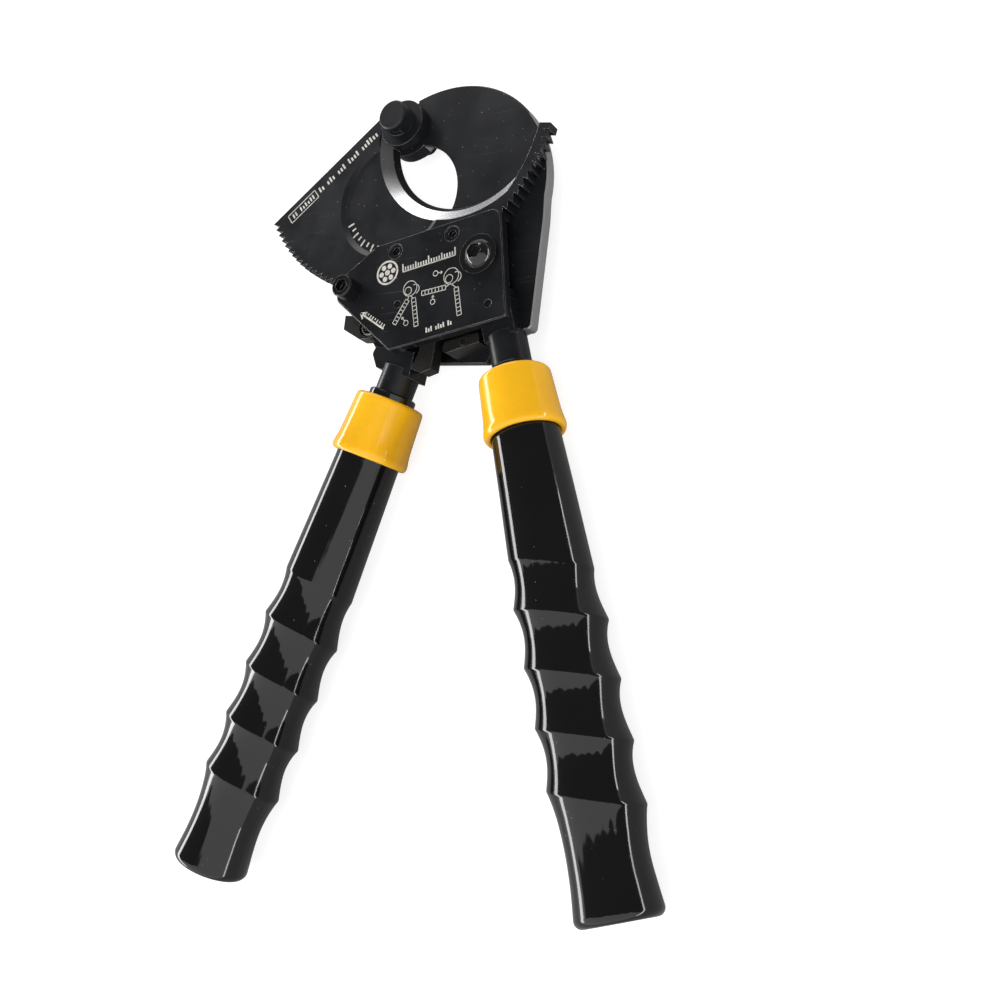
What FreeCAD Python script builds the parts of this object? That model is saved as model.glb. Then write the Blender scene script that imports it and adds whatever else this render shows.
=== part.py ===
"""Two-handed ratcheting cable cutter, as a parametric FreeCAD document.

Frame: the tool lies on its back. +Z points up out of its front face, +Y towards the jaws and
+X to the side of the fixed handle. The origin is on the axis of the blade pivot, on the surface
that the tool lies on. Lengths are in millimetres and angles in degrees.
"""
import FreeCAD
import Part
import Sketcher
import math
import os

# A size that ends in _drop is a distance below the lowest point of the toothed rim.
SIZES = [
    # stack of plates, measured from the surface that the tool lies on
    ("blade_plane", 16.4),          # height of the plane where the two blades meet
    ("fixed_thickness", 6.0),
    ("moving_thickness", 6.0),
    ("blade_clearance", 0.1),       # running gap between the two blades
    ("cover_clearance", 0.3),       # gap between the moving blade and the front cover
    ("cover_thickness", 4.2),
    ("side_clearance", 0.2),        # gap on each face of a part that turns between plates
    ("fit_clearance", 0.05),        # radial gap of a running fit
    ("travel_clearance", 0.6),      # gap left beside a moving part
    # moving blade
    ("rim_radius", 75.7),
    ("tooth_depth", 2.4),
    ("tooth_pitch", 2.75),
    ("tooth_count", 50),
    ("corner_angle", 210.2),
    ("tip_angle", 349.6),
    ("hub_radius", 10.6),
    ("web_thickness", 4.8),
    ("rim_width", 5.3),
    ("opening_x", 32.0),
    ("opening_y", -5.9),
    ("opening_radius", 35.7),
    ("facet_width", 2.2),
    ("facet_height", 2.3),
    ("bevel_width", 5.2),
    ("recess_x", 0.4),
    ("recess_y", -34.0),
    ("recess_radius", 28.1),
    ("recess_slope", 2.3),          # width of the slope round the recess
    # fixed blade
    ("fixed_hub_radius", 12.3),
    ("disc_x", 19.7),
    ("disc_y", -36.1),
    ("disc_radius", 52.3),
    ("seat_x", 4.3),
    ("seat_y", -33.0),
    ("seat_radius", 24.4),
    ("seat_bevel", 4.0),
    ("arm_inset", 3.5),             # how far the arm stays inside the rim radius
    ("plate_left", 25.5),
    ("plate_foot_drop", 22.8),
    # covers
    ("cover_top_drop", -26.7),
    ("cover_top_x", 57.8),
    ("cover_right", 65.8),
    ("cover_foot_drop", 20.5),
    ("cover_corner_x", 11.3),
    ("cover_corner_drop", 30.1),
    ("cover_left_x", -20.5),
    ("cover_left_drop", 4.6),
    ("cover_shoulder_x", -17.5),
    ("cover_shoulder_drop", -5.2),
    ("cover_peak_x", -1.4),
    ("cover_peak_drop", -17.0),
    ("cover_round", 5.0),
    ("edge_break", 0.5),            # chamfer round the outer edges of the plates
    ("cover_lip", 8.2),             # how far the rear cover reaches below the front one
    # pivot bolt
    ("pivot_bolt_radius", 4.0),
    ("bushing_radius", 5.0),
    ("knob_radius", 6.7),
    ("knob_height", 7.0),
    ("knob_flat", 5.1),
    ("knob_flat_width", 5.2),
    ("pivot_washer_radius", 6.6),
    ("washer_thickness", 0.8),
    ("nut_across", 13.9),
    ("pivot_nut_height", 6.1),
    # clamp bolt and the bolt of the moving handle
    ("clamp_x", 50.5),
    ("clamp_drop", -6.7),
    ("clamp_bolt_radius", 4.0),
    ("clamp_head_radius", 8.4),
    ("clamp_head_height", 6.2),
    ("clamp_spacer_radius", 5.4),
    ("handle_x", -11.3),
    ("handle_drop", 2.4),
    ("handle_bolt_radius", 2.25),
    ("handle_head_radius", 4.9),
    ("handle_head_height", 7.9),
    ("handle_sleeve_radius", 3.0),
    ("rear_nut_height", 4.6),
    ("socket_radius", 2.6),
    ("socket_depth", 3.2),
    # small fasteners
    ("guide_screw_radius", 2.9),
    ("guide_screw_ring", 3.5),
    ("dowel_radius", 1.6),
    ("pawl_pin_radius", 2.0),
    # pawls
    ("hold_x", 31.0),
    ("hold_drop", 13.3),
    ("drive_x", -4.0),
    ("drive_drop", 16.8),
    ("pawl_boss_radius", 5.4),
    ("pawl_tip_gap", 0.4),
    ("spring_radius", 3.4),
    ("spring_wire", 0.6),
    ("spring_turn", 310.0),
    ("spring_pocket", 2.2),
    # handles
    ("left_collar_x", 8.0),
    ("left_collar_drop", 48.5),
    ("right_collar_x", 65.1),
    ("right_collar_drop", 38.5),
    ("right_slide", 3.0),           # how much lower the right grip sits on its neck
    ("handle_angle", 17.95),
    ("neck_radius", 8.0),
    ("neck_above", 14.0),
    ("neck_below", 8.0),
    ("spigot_length", 42.0),
    ("tube_wall", 2.2),
    ("tube_gap", 0.15),             # radial gap between a tube and its grip, under the neck
    ("ferrule_wall", 1.85),
    ("ferrule_height", 3.0),
    ("collar_length", 26.0),
    ("collar_gap", 0.1),            # radial gap of a collar on its grip and neck
    ("collar_top_wall", 0.8),
    ("collar_foot_wall", 2.5),
    ("collar_roof", 3.0),
    ("grip_length", 204.6),
    ("grip_start_radius", 13.6),
    ("left_crease", 81.3),          # soft shoulder that the finger ridges start from
    ("right_crease", 78.4),
    ("left_ridge", 101.4),
    ("right_ridge", 97.6),
    ("ridge_pitch", 21.9),
    ("ridge_width", 33.8),
    ("grip_flatness", 0.96),        # depth of a grip as a share of its width
    ("valley_depth", 1.9),
    ("left_ridge_slant", 6.0),
    ("right_ridge_slant", 18.9),
    ("grip_end_width", 32.2),
    ("grip_end_wall", 6.0),
]

doc = FreeCAD.newDocument("CableCutter")
sheet = doc.addObject("Spreadsheet::Sheet", "Sizes")


class Term:
    """A number together with the spreadsheet formula that it comes from."""

    def __init__(self, value, text=None):
        self.value = float(value)
        self.text = text or repr(float(value))

    def join(self, other, sign, value):
        return Term(value, "(%s %s %s)" % (self.text, sign, other.text))

    def __add__(self, other):
        other = term(other)
        return self.join(other, "+", self.value + other.value)

    def __sub__(self, other):
        other = term(other)
        return self.join(other, "-", self.value - other.value)

    def __mul__(self, other):
        other = term(other)
        return self.join(other, "*", self.value * other.value)

    def __truediv__(self, other):
        other = term(other)
        return self.join(other, "/", self.value / other.value)

    def __rsub__(self, other):
        return term(other) - self

    def __neg__(self):
        return Term(0.0) - self

    __radd__ = __add__
    __rmul__ = __mul__


def term(number):
    return number if isinstance(number, Term) else Term(number)


def cosine(angle):
    angle = term(angle)
    return Term(math.cos(math.radians(angle.value)), "cos(%s)" % angle.text)


def sine(angle):
    angle = term(angle)
    return Term(math.sin(math.radians(angle.value)), "sin(%s)" % angle.text)


class Table:
    """The named sizes as terms, one attribute each."""


S = Table()
for row, (name, number) in enumerate(SIZES, start=1):
    sheet.set("A%d" % row, name)
    sheet.set("B%d" % row, repr(number))
    sheet.setAlias("B%d" % row, name)
    setattr(S, name, Term(number, "Sizes." + name))
for name, number in SIZES:
    if name.endswith("_drop"):
        setattr(S, name[:-5] + "_y", -(S.rim_radius + getattr(S, name)))
doc.recompute()

UP = FreeCAD.Vector(0, 0, 1)
SIDE = FreeCAD.Vector(1, 0, 0)
sub_parts = []


# ---- building blocks ---------------------------------------------------------------------

def bind(item, prop, number):
    """Tie a property to the sheet."""
    item.setExpression(prop, term(number).text)


def put(item, x=0.0, y=0.0, z=0.0, turn=None, axis=UP):
    """Place an object, with its place tied to the sheet."""
    angle = term(turn).value if turn is not None else 0.0
    item.Placement = FreeCAD.Placement(FreeCAD.Vector(0, 0, 0), FreeCAD.Rotation(axis, angle))
    for letter, number in (("x", x), ("y", y), ("z", z)):
        bind(item, "Placement.Base." + letter, number)
    return item


def disc(radius, height, x=0.0, y=0.0, z=0.0):
    item = doc.addObject("Part::Cylinder", "Disc")
    bind(item, "Radius", radius)
    bind(item, "Height", height)
    return put(item, x, y, z)


def cone(low, high, height, x=0.0, y=0.0, z=0.0):
    item = doc.addObject("Part::Cone", "Cone")
    bind(item, "Radius1", low)
    bind(item, "Radius2", high)
    bind(item, "Height", height)
    return put(item, x, y, z)


def hexagon(across, height, x=0.0, y=0.0, z=0.0, turn=0.0):
    item = doc.addObject("Part::Prism", "Hexagon")
    item.Polygon = 6
    bind(item, "Circumradius", term(across) / math.sqrt(3.0))
    bind(item, "Height", height)
    return put(item, x, y, z, turn)


def combine(kind, base, tools):
    for tool in tools:
        joined = doc.addObject("Part::" + kind, kind)
        joined.Base = base
        joined.Tool = tool
        base = joined
    return base


def cut(base, *tools):
    return combine("Cut", base, tools)


def fuse(base, *tools):
    return combine("Fuse", base, tools)


def common(base, *tools):
    return combine("Common", base, tools)


def draw(sketch, corners):
    """Closed outline of straight sides, each corner tied to the sheet."""
    spots = [FreeCAD.Vector(term(x).value, term(y).value, 0) for x, y in corners]
    count = len(spots)
    for index in range(count):
        sketch.addGeometry(Part.LineSegment(spots[index], spots[(index + 1) % count]), False)
    for index in range(count):
        sketch.addConstraint(Sketcher.Constraint("Coincident", index, 2, (index + 1) % count, 1))
    for index, (x, y) in enumerate(corners):
        for kind, number in (("DistanceX", term(x)), ("DistanceY", term(y))):
            rule = sketch.addConstraint(Sketcher.Constraint(kind, -1, 1, index, 1, number.value))
            sketch.setExpression("Constraints[%d]" % rule, number.text)


def lay(body, sketch, role):
    """Attach a sketch to one of its body's origin planes."""
    plane = [item for item in body.Origin.OriginFeatures if item.Role == role][0]
    sketch.AttachmentSupport = [(plane, "")]
    sketch.MapMode = "FlatFace"


def plate(name, corners, thickness, z=0.0, rounds=(), holes=(), broken=()):
    """A plate with straight sides, rounded corners, through holes and broken edges.

    broken lists the faces whose outer edges are chamfered, by their height above the plate's back.
    """
    body = doc.addObject("PartDesign::Body", name)
    outline = body.newObject("Sketcher::SketchObject", name + "Outline")
    lay(body, outline, "XY_Plane")
    draw(outline, corners)
    pad = body.newObject("PartDesign::Pad", name + "Pad")
    pad.Profile = outline
    bind(pad, "Length", thickness)
    doc.recompute()
    tip = pad
    for radius, picked in rounds:
        spots = [FreeCAD.Vector(term(corners[i][0]).value, term(corners[i][1]).value, 0) for i in picked]
        names = []
        for number, edge in enumerate(tip.Shape.Edges, start=1):
            ends = [vertex.Point for vertex in edge.Vertexes]
            if len(ends) == 2 and abs(ends[0].z - ends[1].z) > 0.5 * term(thickness).value:
                if any(math.hypot(ends[0].x - spot.x, ends[0].y - spot.y) < 1e-4 for spot in spots):
                    names.append("Edge%d" % number)
        fillet = body.newObject("PartDesign::Fillet", name + "Round")
        fillet.Base = (tip, names)
        bind(fillet, "Radius", radius)
        doc.recompute()
        tip = fillet
    for height in broken:
        level = term(height).value
        names = ["Edge%d" % number for number, edge in enumerate(tip.Shape.Edges, start=1)
                 if max(abs(edge.BoundBox.ZMin - level), abs(edge.BoundBox.ZMax - level)) < 1e-3]
        chamfer = body.newObject("PartDesign::Chamfer", name + "Broken")
        chamfer.Base = (tip, names)
        bind(chamfer, "Size", S.edge_break)
        doc.recompute()
        tip = chamfer
    if holes:
        drilled = body.newObject("Sketcher::SketchObject", name + "Holes")
        lay(body, drilled, "XY_Plane")
        for index, (x, y, radius) in enumerate(holes):
            x, y, radius = term(x), term(y), term(radius)
            centre = FreeCAD.Vector(x.value, y.value, 0)
            drilled.addGeometry(Part.Circle(centre, UP, radius.value), False)
            for rule in (Sketcher.Constraint("Radius", index, radius.value),
                         Sketcher.Constraint("DistanceX", -1, 1, index, 3, x.value),
                         Sketcher.Constraint("DistanceY", -1, 1, index, 3, y.value)):
                drilled.addConstraint(rule)
            for step, number in enumerate((radius, x, y)):
                drilled.setExpression("Constraints[%d]" % (3 * index + step), number.text)
        pocket = body.newObject("PartDesign::Pocket", name + "Drilling")
        pocket.Profile = drilled
        pocket.Type = "ThroughAll"
        pocket.Reversed = True
        before = tip.Shape.Volume
        doc.recompute()
        if pocket.Shape.Volume >= before:
            raise RuntimeError("the holes of %s cut nothing" % name)
        tip = pocket
    body.Tip = tip
    return put(body, z=z)


def lathe(name, profile):
    """A turned piece: profile points are (radius, height) about the local Z axis."""
    body = doc.addObject("PartDesign::Body", name)
    outline = body.newObject("Sketcher::SketchObject", name + "Profile")
    lay(body, outline, "XZ_Plane")
    draw(outline, profile)
    turned = body.newObject("PartDesign::Revolution", name + "Turning")
    turned.Profile = outline
    turned.ReferenceAxis = (outline, ["V_Axis"])
    turned.Angle = 360.0
    body.Tip = turned
    return body


def finish(item, label):
    """Register a sub-part under the name of its node."""
    item.Label = label
    sub_parts.append(item)
    return item


def swung(x, y, side, along, across):
    """A point on a handle: along is up its axis from the collar, across is to its right."""
    angle = S.handle_angle * side
    return (x + across * cosine(angle) - along * sine(angle),
            y + across * sine(angle) + along * cosine(angle))


# ---- levels ------------------------------------------------------------------------------

PLANE = S.blade_plane
MOVING_BACK = PLANE + S.blade_clearance
MOVING_FRONT = MOVING_BACK + S.moving_thickness
COVER_BACK = MOVING_FRONT + S.cover_clearance
COVER_FRONT = COVER_BACK + S.cover_thickness
FIXED_BACK = PLANE - S.fixed_thickness
REAR_BACK = FIXED_BACK - S.cover_thickness
FRONT_ROOM = COVER_BACK - PLANE
FULL_ROOM = COVER_BACK - FIXED_BACK
SLACK = 2.0                          # how far a cutting tool reaches past what it cuts


# ---- moving blade ------------------------------------------------------------------------

def toothed_disc():
    """Full disc with the ratchet gaps along the arc that the blade keeps."""
    body = doc.addObject("PartDesign::Body", "ToothedDisc")
    circle = body.newObject("Sketcher::SketchObject", "RimCircle")
    lay(body, circle, "XY_Plane")
    circle.addGeometry(Part.Circle(FreeCAD.Vector(0, 0, 0), UP, S.rim_radius.value), False)
    circle.addConstraint(Sketcher.Constraint("Coincident", 0, 3, -1, 1))
    circle.addConstraint(Sketcher.Constraint("Radius", 0, S.rim_radius.value))
    circle.setExpression("Constraints[1]", S.rim_radius.text)
    pad = body.newObject("PartDesign::Pad", "RimPad")
    pad.Profile = circle
    bind(pad, "Length", S.moving_thickness)
    gap = body.newObject("Sketcher::SketchObject", "ToothGap")
    lay(body, gap, "XY_Plane")
    outside = S.rim_radius + S.tooth_depth
    root = S.rim_radius - S.tooth_depth
    steep = S.corner_angle + S.tooth_pitch * 0.94
    shallow = S.corner_angle + S.tooth_pitch * 0.06
    draw(gap, [(S.rim_radius * cosine(shallow), S.rim_radius * sine(shallow)),
               (outside * cosine(shallow), outside * sine(shallow)),
               (outside * cosine(steep), outside * sine(steep)),
               (root * cosine(steep), root * sine(steep))])
    notch = body.newObject("PartDesign::Pocket", "ToothNotch")
    notch.Profile = gap
    notch.Type = "ThroughAll"
    notch.Reversed = True
    doc.recompute()
    ring = body.newObject("PartDesign::PolarPattern", "ToothRing")
    ring.Originals = [notch]
    ring.Axis = (gap, ["N_Axis"])
    bind(ring, "Occurrences", S.tooth_count)
    bind(ring, "Angle", S.tooth_pitch * (S.tooth_count - 1))
    body.Tip = ring
    doc.recompute()
    if ring.Shape.Volume >= notch.Shape.Volume:
        raise RuntimeError("the tooth pattern cut nothing")
    return put(body, z=MOVING_BACK)


def moving_blade():
    """Hooked blade: straight back, toothed rim, raised edge and a bevelled cutting edge."""
    far = S.rim_radius * 1.3
    middle = (S.corner_angle + S.tip_angle) / 2.0
    heel = S.corner_angle - 90.0
    sector = plate("BladeSector", [
        (far * cosine(S.corner_angle), far * sine(S.corner_angle)),
        (far * cosine(middle) * 1.4, far * sine(middle) * 1.4),
        (far * cosine(S.tip_angle), far * sine(S.tip_angle)),
        (Term(0.0), Term(0.0)),
        (S.hub_radius * cosine(heel + 8.8), S.hub_radius * sine(heel + 8.8)),
        (S.rim_radius * cosine(S.corner_angle), S.rim_radius * sine(S.corner_angle)),
    ], S.moving_thickness, z=MOVING_BACK)
    opening = disc(S.opening_radius, S.moving_thickness + SLACK * 2, S.opening_x, S.opening_y,
                   MOVING_BACK - SLACK)
    body = cut(common(toothed_disc(), sector), opening)
    rim_inside = S.rim_radius - S.rim_width
    web_front = MOVING_BACK + S.web_thickness
    facet = cone(S.opening_radius, S.opening_radius + S.facet_width, S.facet_height,
                 S.opening_x, S.opening_y, MOVING_BACK)
    bevel_rise = S.web_thickness - S.facet_height
    bevel = cone(S.opening_radius + S.facet_width,
                 S.opening_radius + S.facet_width + S.bevel_width, bevel_rise,
                 S.opening_x, S.opening_y, MOVING_BACK + S.facet_height)
    shelf = disc(S.opening_radius + S.facet_width + S.bevel_width, S.moving_thickness,
                 S.opening_x, S.opening_y, web_front)
    recess = cone(S.recess_radius - S.recess_slope, S.recess_radius + S.recess_slope,
                  (S.moving_thickness - S.web_thickness) * 2.0, S.recess_x, S.recess_y, web_front)
    inside = disc(rim_inside, S.moving_thickness + SLACK, 0.0, 0.0, MOVING_BACK)
    body = cut(body, common(fuse(facet, bevel, shelf, recess), inside))
    hub = disc(S.hub_radius, S.moving_thickness, 0.0, 0.0, MOVING_BACK)
    bore = disc(S.bushing_radius + S.fit_clearance, S.moving_thickness + SLACK * 2, 0.0, 0.0,
                MOVING_BACK - SLACK)
    return finish(cut(fuse(body, hub), bore), "moving_blade")


# ---- fixed blade and covers --------------------------------------------------------------

def fixed_blade():
    """Counter blade: round nose, cable seat, arm down the right side and the mounting plate."""
    edge = S.disc_radius - S.edge_break
    nose = fuse(cone(edge, S.disc_radius, S.edge_break, S.disc_x, S.disc_y, FIXED_BACK),
                disc(S.disc_radius, S.fixed_thickness - S.edge_break * 2.0, S.disc_x, S.disc_y,
                     FIXED_BACK + S.edge_break),
                cone(S.disc_radius, edge, S.edge_break, S.disc_x, S.disc_y,
                     PLANE - S.edge_break))
    hub = disc(S.fixed_hub_radius, S.fixed_thickness, 0.0, 0.0, FIXED_BACK)
    neck_end = S.neck_above + 0.3
    arm_right = S.rim_radius - S.arm_inset
    foot_left = swung(S.right_collar_x, S.right_collar_y, 1, neck_end, -S.neck_radius)
    foot_right = swung(S.right_collar_x, S.right_collar_y, 1, neck_end - 1.5, S.neck_radius + 2.6)
    foot_inner = swung(S.right_collar_x, S.right_collar_y, 1, neck_end, S.neck_radius + 0.4)
    arm = plate("Arm", [
        (arm_right - 12.0, term(-8.0)),
        (arm_right - 0.6, term(-38.0)),
        (arm_right, term(-52.0)),
        foot_right,
        foot_inner,
        foot_left,
        (foot_left[0] - 2.0, S.plate_foot_y),
        (S.plate_left, S.plate_foot_y),
        (S.plate_left, term(-40.0)),
    ], S.fixed_thickness, z=FIXED_BACK, rounds=[(2.0, [3])], broken=[S.fixed_thickness, 0.0])
    body = fuse(nose, arm)
    seat = disc(S.seat_radius, S.fixed_thickness + SLACK * 2, S.seat_x, S.seat_y,
                FIXED_BACK - SLACK)
    seat_edge = cone(S.seat_radius + S.seat_bevel, S.seat_radius, S.fixed_thickness * 0.8,
                     S.seat_x, S.seat_y, FIXED_BACK)
    throat_top = -S.fixed_hub_radius * 0.2
    throat = plate("Throat", [
        (-S.disc_radius, S.disc_radius),
        (term(0.0), S.disc_radius),
        (S.seat_x, throat_top),
        (S.seat_x + 8.0, S.seat_y),
        (S.plate_left, S.seat_y - S.seat_radius * 0.5),
        (S.plate_left, -S.disc_radius * 2.0),
        (-S.disc_radius, -S.disc_radius * 2.0),
    ], S.fixed_thickness + SLACK * 2, z=FIXED_BACK - SLACK)
    body = fuse(cut(body, seat, seat_edge, throat), hub)
    tall = S.fixed_thickness + SLACK * 2
    below = FIXED_BACK - SLACK
    pivot_hole = disc(S.pivot_bolt_radius + S.fit_clearance, tall, 0.0, 0.0, below)
    clamp_hole = disc(S.clamp_bolt_radius + S.fit_clearance, tall, S.clamp_x, S.clamp_y, below)
    pawl_hole = disc(S.pawl_pin_radius + S.fit_clearance, tall, S.hold_x, S.hold_y, below)
    tang_x, tang_y = tang_pin()
    tang_hole = disc(S.dowel_radius + S.fit_clearance, tall, tang_x, tang_y, below)
    return finish(cut(body, pivot_hole, clamp_hole, pawl_hole, tang_hole), "fixed_blade")


def tang_pin():
    """Place of the dowel that pins the tang of the fixed handle."""
    return swung(S.right_collar_x, S.right_collar_y, 1, S.neck_above + 11.5, -0.4)


def dowel_places():
    return [tang_pin(), (S.cover_corner_x + 1.7, S.cover_corner_y + 19.7)]


def guide_screw_places():
    return [(S.cover_peak_x + 10.2, S.cover_peak_y - 3.7),
            (S.cover_peak_x + 37.5, S.cover_peak_y + 0.7)]


def cover_holes(front):
    gap = S.fit_clearance
    holes = [(S.clamp_x, S.clamp_y, S.clamp_bolt_radius + gap),
             (S.handle_x, S.handle_y, S.handle_bolt_radius + gap)]
    holes += [(x, y, S.dowel_radius + gap) for x, y in dowel_places()]
    if front:
        holes += [(x, y, S.guide_screw_radius + gap) for x, y in guide_screw_places()]
    else:
        holes.append((S.hold_x, S.hold_y, S.pawl_pin_radius + gap))
    return holes


def covers():
    """Two side plates: the front one carries the markings and the guide screws."""
    left_side = [(S.cover_corner_x, S.cover_corner_y),
                 (S.cover_left_x, S.cover_left_y),
                 (S.cover_shoulder_x, S.cover_shoulder_y),
                 (S.cover_peak_x, S.cover_peak_y),
                 (S.cover_top_x, S.cover_top_y)]
    front = plate("FrontCover", left_side + [(S.cover_right, S.cover_foot_y)], S.cover_thickness,
                  z=COVER_BACK, rounds=[(S.cover_round, [1, 2, 4]), (1.5, [0, 5])],
                  holes=cover_holes(True), broken=[S.cover_thickness])
    rings = [cone(S.guide_screw_radius, S.guide_screw_ring, 0.7, x, y, COVER_FRONT - 0.7)
             for x, y in guide_screw_places()]
    blind = disc(S.pawl_pin_radius + S.fit_clearance, 2.0 + SLACK, S.hold_x, S.hold_y,
                 COVER_BACK - SLACK)
    finish(cut(front, *rings, blind), "front_cover")
    neck_left = swung(S.right_collar_x, S.right_collar_y, 1, S.neck_above, -S.neck_radius - 1.5)
    rear = plate("RearCover", left_side + [
        (S.cover_right, S.cover_foot_y),
        (neck_left[0], neck_left[1] + 3.0),
        (neck_left[0] - 3.0, S.cover_foot_y - S.cover_lip - 4.0),
    ], S.cover_thickness, z=REAR_BACK, rounds=[(S.cover_round, [1, 2, 4]), (1.0, [0, 5, 7])],
        holes=cover_holes(False), broken=[0.0])
    bar_x, bar_y = stop_bar_pin()
    bar_hole = disc(S.dowel_radius + S.fit_clearance, S.cover_thickness + SLACK * 2, bar_x, bar_y,
                    REAR_BACK - SLACK)
    finish(cut(rear, bar_hole), "rear_cover")


def stop_bar_pin():
    return (S.hold_x + 12.0, S.plate_foot_y - 4.0)


def stop_bar():
    """Steel bar between the covers that the release lever comes to rest against."""
    left = S.hold_x + 2.6
    top = S.plate_foot_y - 0.6
    bar = plate("StopBar", [
        (left, top - 2.8),
        (left - 0.2, top - 7.8),
        (left + 16.8, top - 4.0),
        (left + 16.0, top),
    ], S.fixed_thickness + 4.0, z=FIXED_BACK, rounds=[(1.8, [0, 1])])
    x, y = stop_bar_pin()
    hole = disc(S.dowel_radius + S.fit_clearance, S.fixed_thickness + 4.0 + SLACK * 2, x, y,
                FIXED_BACK - SLACK)
    finish(cut(bar, hole), "stop_bar")
    pin = disc(S.dowel_radius, S.fixed_thickness + 4.2 + S.cover_thickness, x, y, REAR_BACK)
    finish(pin, "stop_bar_pin")


# ---- bolts, nuts and small fasteners -----------------------------------------------------

def pivot_fasteners():
    washer_back = MOVING_FRONT + 0.1
    head_back = washer_back + S.washer_thickness
    shank = disc(S.pivot_bolt_radius, head_back)
    head = disc(S.knob_radius, S.knob_height - 0.6, 0.0, 0.0, head_back)
    crown = cone(S.knob_radius, S.knob_radius - 0.6, 0.6, 0.0, 0.0, head_back + S.knob_height - 0.6)
    flats = []
    half = S.knob_flat_width / 2.0
    for side in (-1, 1):
        near = S.knob_flat * side
        far = S.knob_radius * 1.3 * side
        block = plate("KnobFlat", [(-half, near), (half, near), (half, far), (-half, far)],
                      S.knob_height / 2.0)
        flats.append(put(block, z=head_back + 0.8, turn=2.0))
    finish(cut(fuse(shank, head, crown), *flats), "pivot_bolt")
    washer = disc(S.pivot_washer_radius, S.washer_thickness, 0.0, 0.0, washer_back)
    hole = disc(S.pivot_bolt_radius + S.fit_clearance, S.washer_thickness + SLACK * 2, 0.0, 0.0,
                washer_back - SLACK)
    finish(cut(washer, hole), "pivot_washer")
    sleeve = disc(S.bushing_radius, washer_back - PLANE, 0.0, 0.0, PLANE)
    hole = disc(S.pivot_bolt_radius + S.fit_clearance, washer_back - PLANE + SLACK * 2, 0.0, 0.0,
                PLANE - SLACK)
    finish(cut(sleeve, hole), "pivot_bushing")
    finish(nut(S.nut_across, S.pivot_nut_height, S.pivot_bolt_radius, 0.0, 0.0,
               FIXED_BACK - S.pivot_nut_height, 33.0), "pivot_nut")


def nut(across, height, bolt_radius, x, y, z, turn=0.0):
    """Hexagon nut with both faces chamfered."""
    corner = term(across) / math.sqrt(3.0)
    blank = hexagon(across, height, x, y, z, turn)
    slope = 0.9
    waist = fuse(cone(corner - slope, corner, slope * 0.6, x, y, z),
                 disc(corner, height - slope * 1.2, x, y, z + slope * 0.6),
                 cone(corner, corner - slope, slope * 0.6, x, y, z + height - slope * 0.6))
    hole = disc(bolt_radius + S.fit_clearance, height + SLACK * 2, x, y, z - SLACK)
    return cut(common(blank, waist), hole)


def clamp_fasteners():
    """Domed bolt with a flange that clamps both covers on the fixed blade."""
    nut_back = REAR_BACK - S.rear_nut_height
    flange = 1.4
    dome_round = S.clamp_head_radius - 2.0
    shank = disc(S.clamp_bolt_radius, COVER_FRONT, S.clamp_x, S.clamp_y)
    flange_disc = disc(S.clamp_head_radius, flange, S.clamp_x, S.clamp_y, COVER_FRONT)
    ball = doc.addObject("Part::Sphere", "Dome")
    bind(ball, "Radius", dome_round)
    put(ball, S.clamp_x, S.clamp_y, COVER_FRONT + flange - dome_round + S.clamp_head_height - 2.2)
    band = disc(dome_round, S.clamp_head_height - flange - 0.8, S.clamp_x, S.clamp_y,
                COVER_FRONT + flange)
    dome = common(ball, band)
    socket = hexagon(S.socket_radius * 2.2, S.socket_depth + SLACK, S.clamp_x, S.clamp_y,
                     COVER_FRONT + S.clamp_head_height - S.socket_depth - 0.8)
    finish(cut(fuse(shank, flange_disc, dome), socket), "clamp_bolt")
    tube = disc(S.clamp_spacer_radius, FRONT_ROOM, S.clamp_x, S.clamp_y, PLANE)
    hole = disc(S.clamp_bolt_radius + S.fit_clearance, FRONT_ROOM + SLACK * 2, S.clamp_x,
                S.clamp_y, PLANE - SLACK)
    finish(cut(tube, hole), "clamp_spacer")
    finish(nut(13.0, S.rear_nut_height, S.clamp_bolt_radius, S.clamp_x, S.clamp_y, nut_back),
           "clamp_nut")


def handle_fasteners():
    """Cap screw, sleeve and nut that carry the moving handle."""
    nut_back = REAR_BACK - S.rear_nut_height
    x, y = S.handle_x, S.handle_y
    shank = disc(S.handle_bolt_radius, COVER_FRONT, x, y)
    head = disc(S.handle_head_radius, S.handle_head_height - 0.5, x, y, COVER_FRONT)
    crown = cone(S.handle_head_radius, S.handle_head_radius - 0.5, 0.5, x, y,
                 COVER_FRONT + S.handle_head_height - 0.5)
    socket = hexagon(S.socket_radius * 2.0, S.socket_depth + SLACK, x, y,
                     COVER_FRONT + S.handle_head_height - S.socket_depth)
    finish(cut(fuse(shank, head, crown), socket), "handle_bolt")
    tube = disc(S.handle_sleeve_radius, FULL_ROOM, x, y, FIXED_BACK)
    hole = disc(S.handle_bolt_radius + S.fit_clearance, FULL_ROOM + SLACK * 2, x, y,
                FIXED_BACK - SLACK)
    finish(cut(tube, hole), "handle_sleeve")
    finish(nut(9.0, S.rear_nut_height, S.handle_bolt_radius, x, y, nut_back), "handle_nut")


def small_fasteners():
    """Guide screws in the front cover, and the dowels that line the covers up."""
    screws = []
    for x, y in guide_screw_places():
        screw = disc(S.guide_screw_radius, S.cover_thickness - 0.6, x, y, COVER_BACK + 0.1)
        socket = hexagon(S.socket_radius * 1.3, S.socket_depth * 0.8, x, y,
                         COVER_FRONT - 0.5 - S.socket_depth * 0.6)
        screws.append(cut(screw, socket))
    finish(fuse(*screws), "guide_screws")
    pins = [disc(S.dowel_radius, COVER_FRONT - 0.4 - REAR_BACK, x, y, REAR_BACK)
            for x, y in dowel_places()]
    finish(fuse(*pins), "cover_dowels")


# ---- pawls -------------------------------------------------------------------------------

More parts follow.
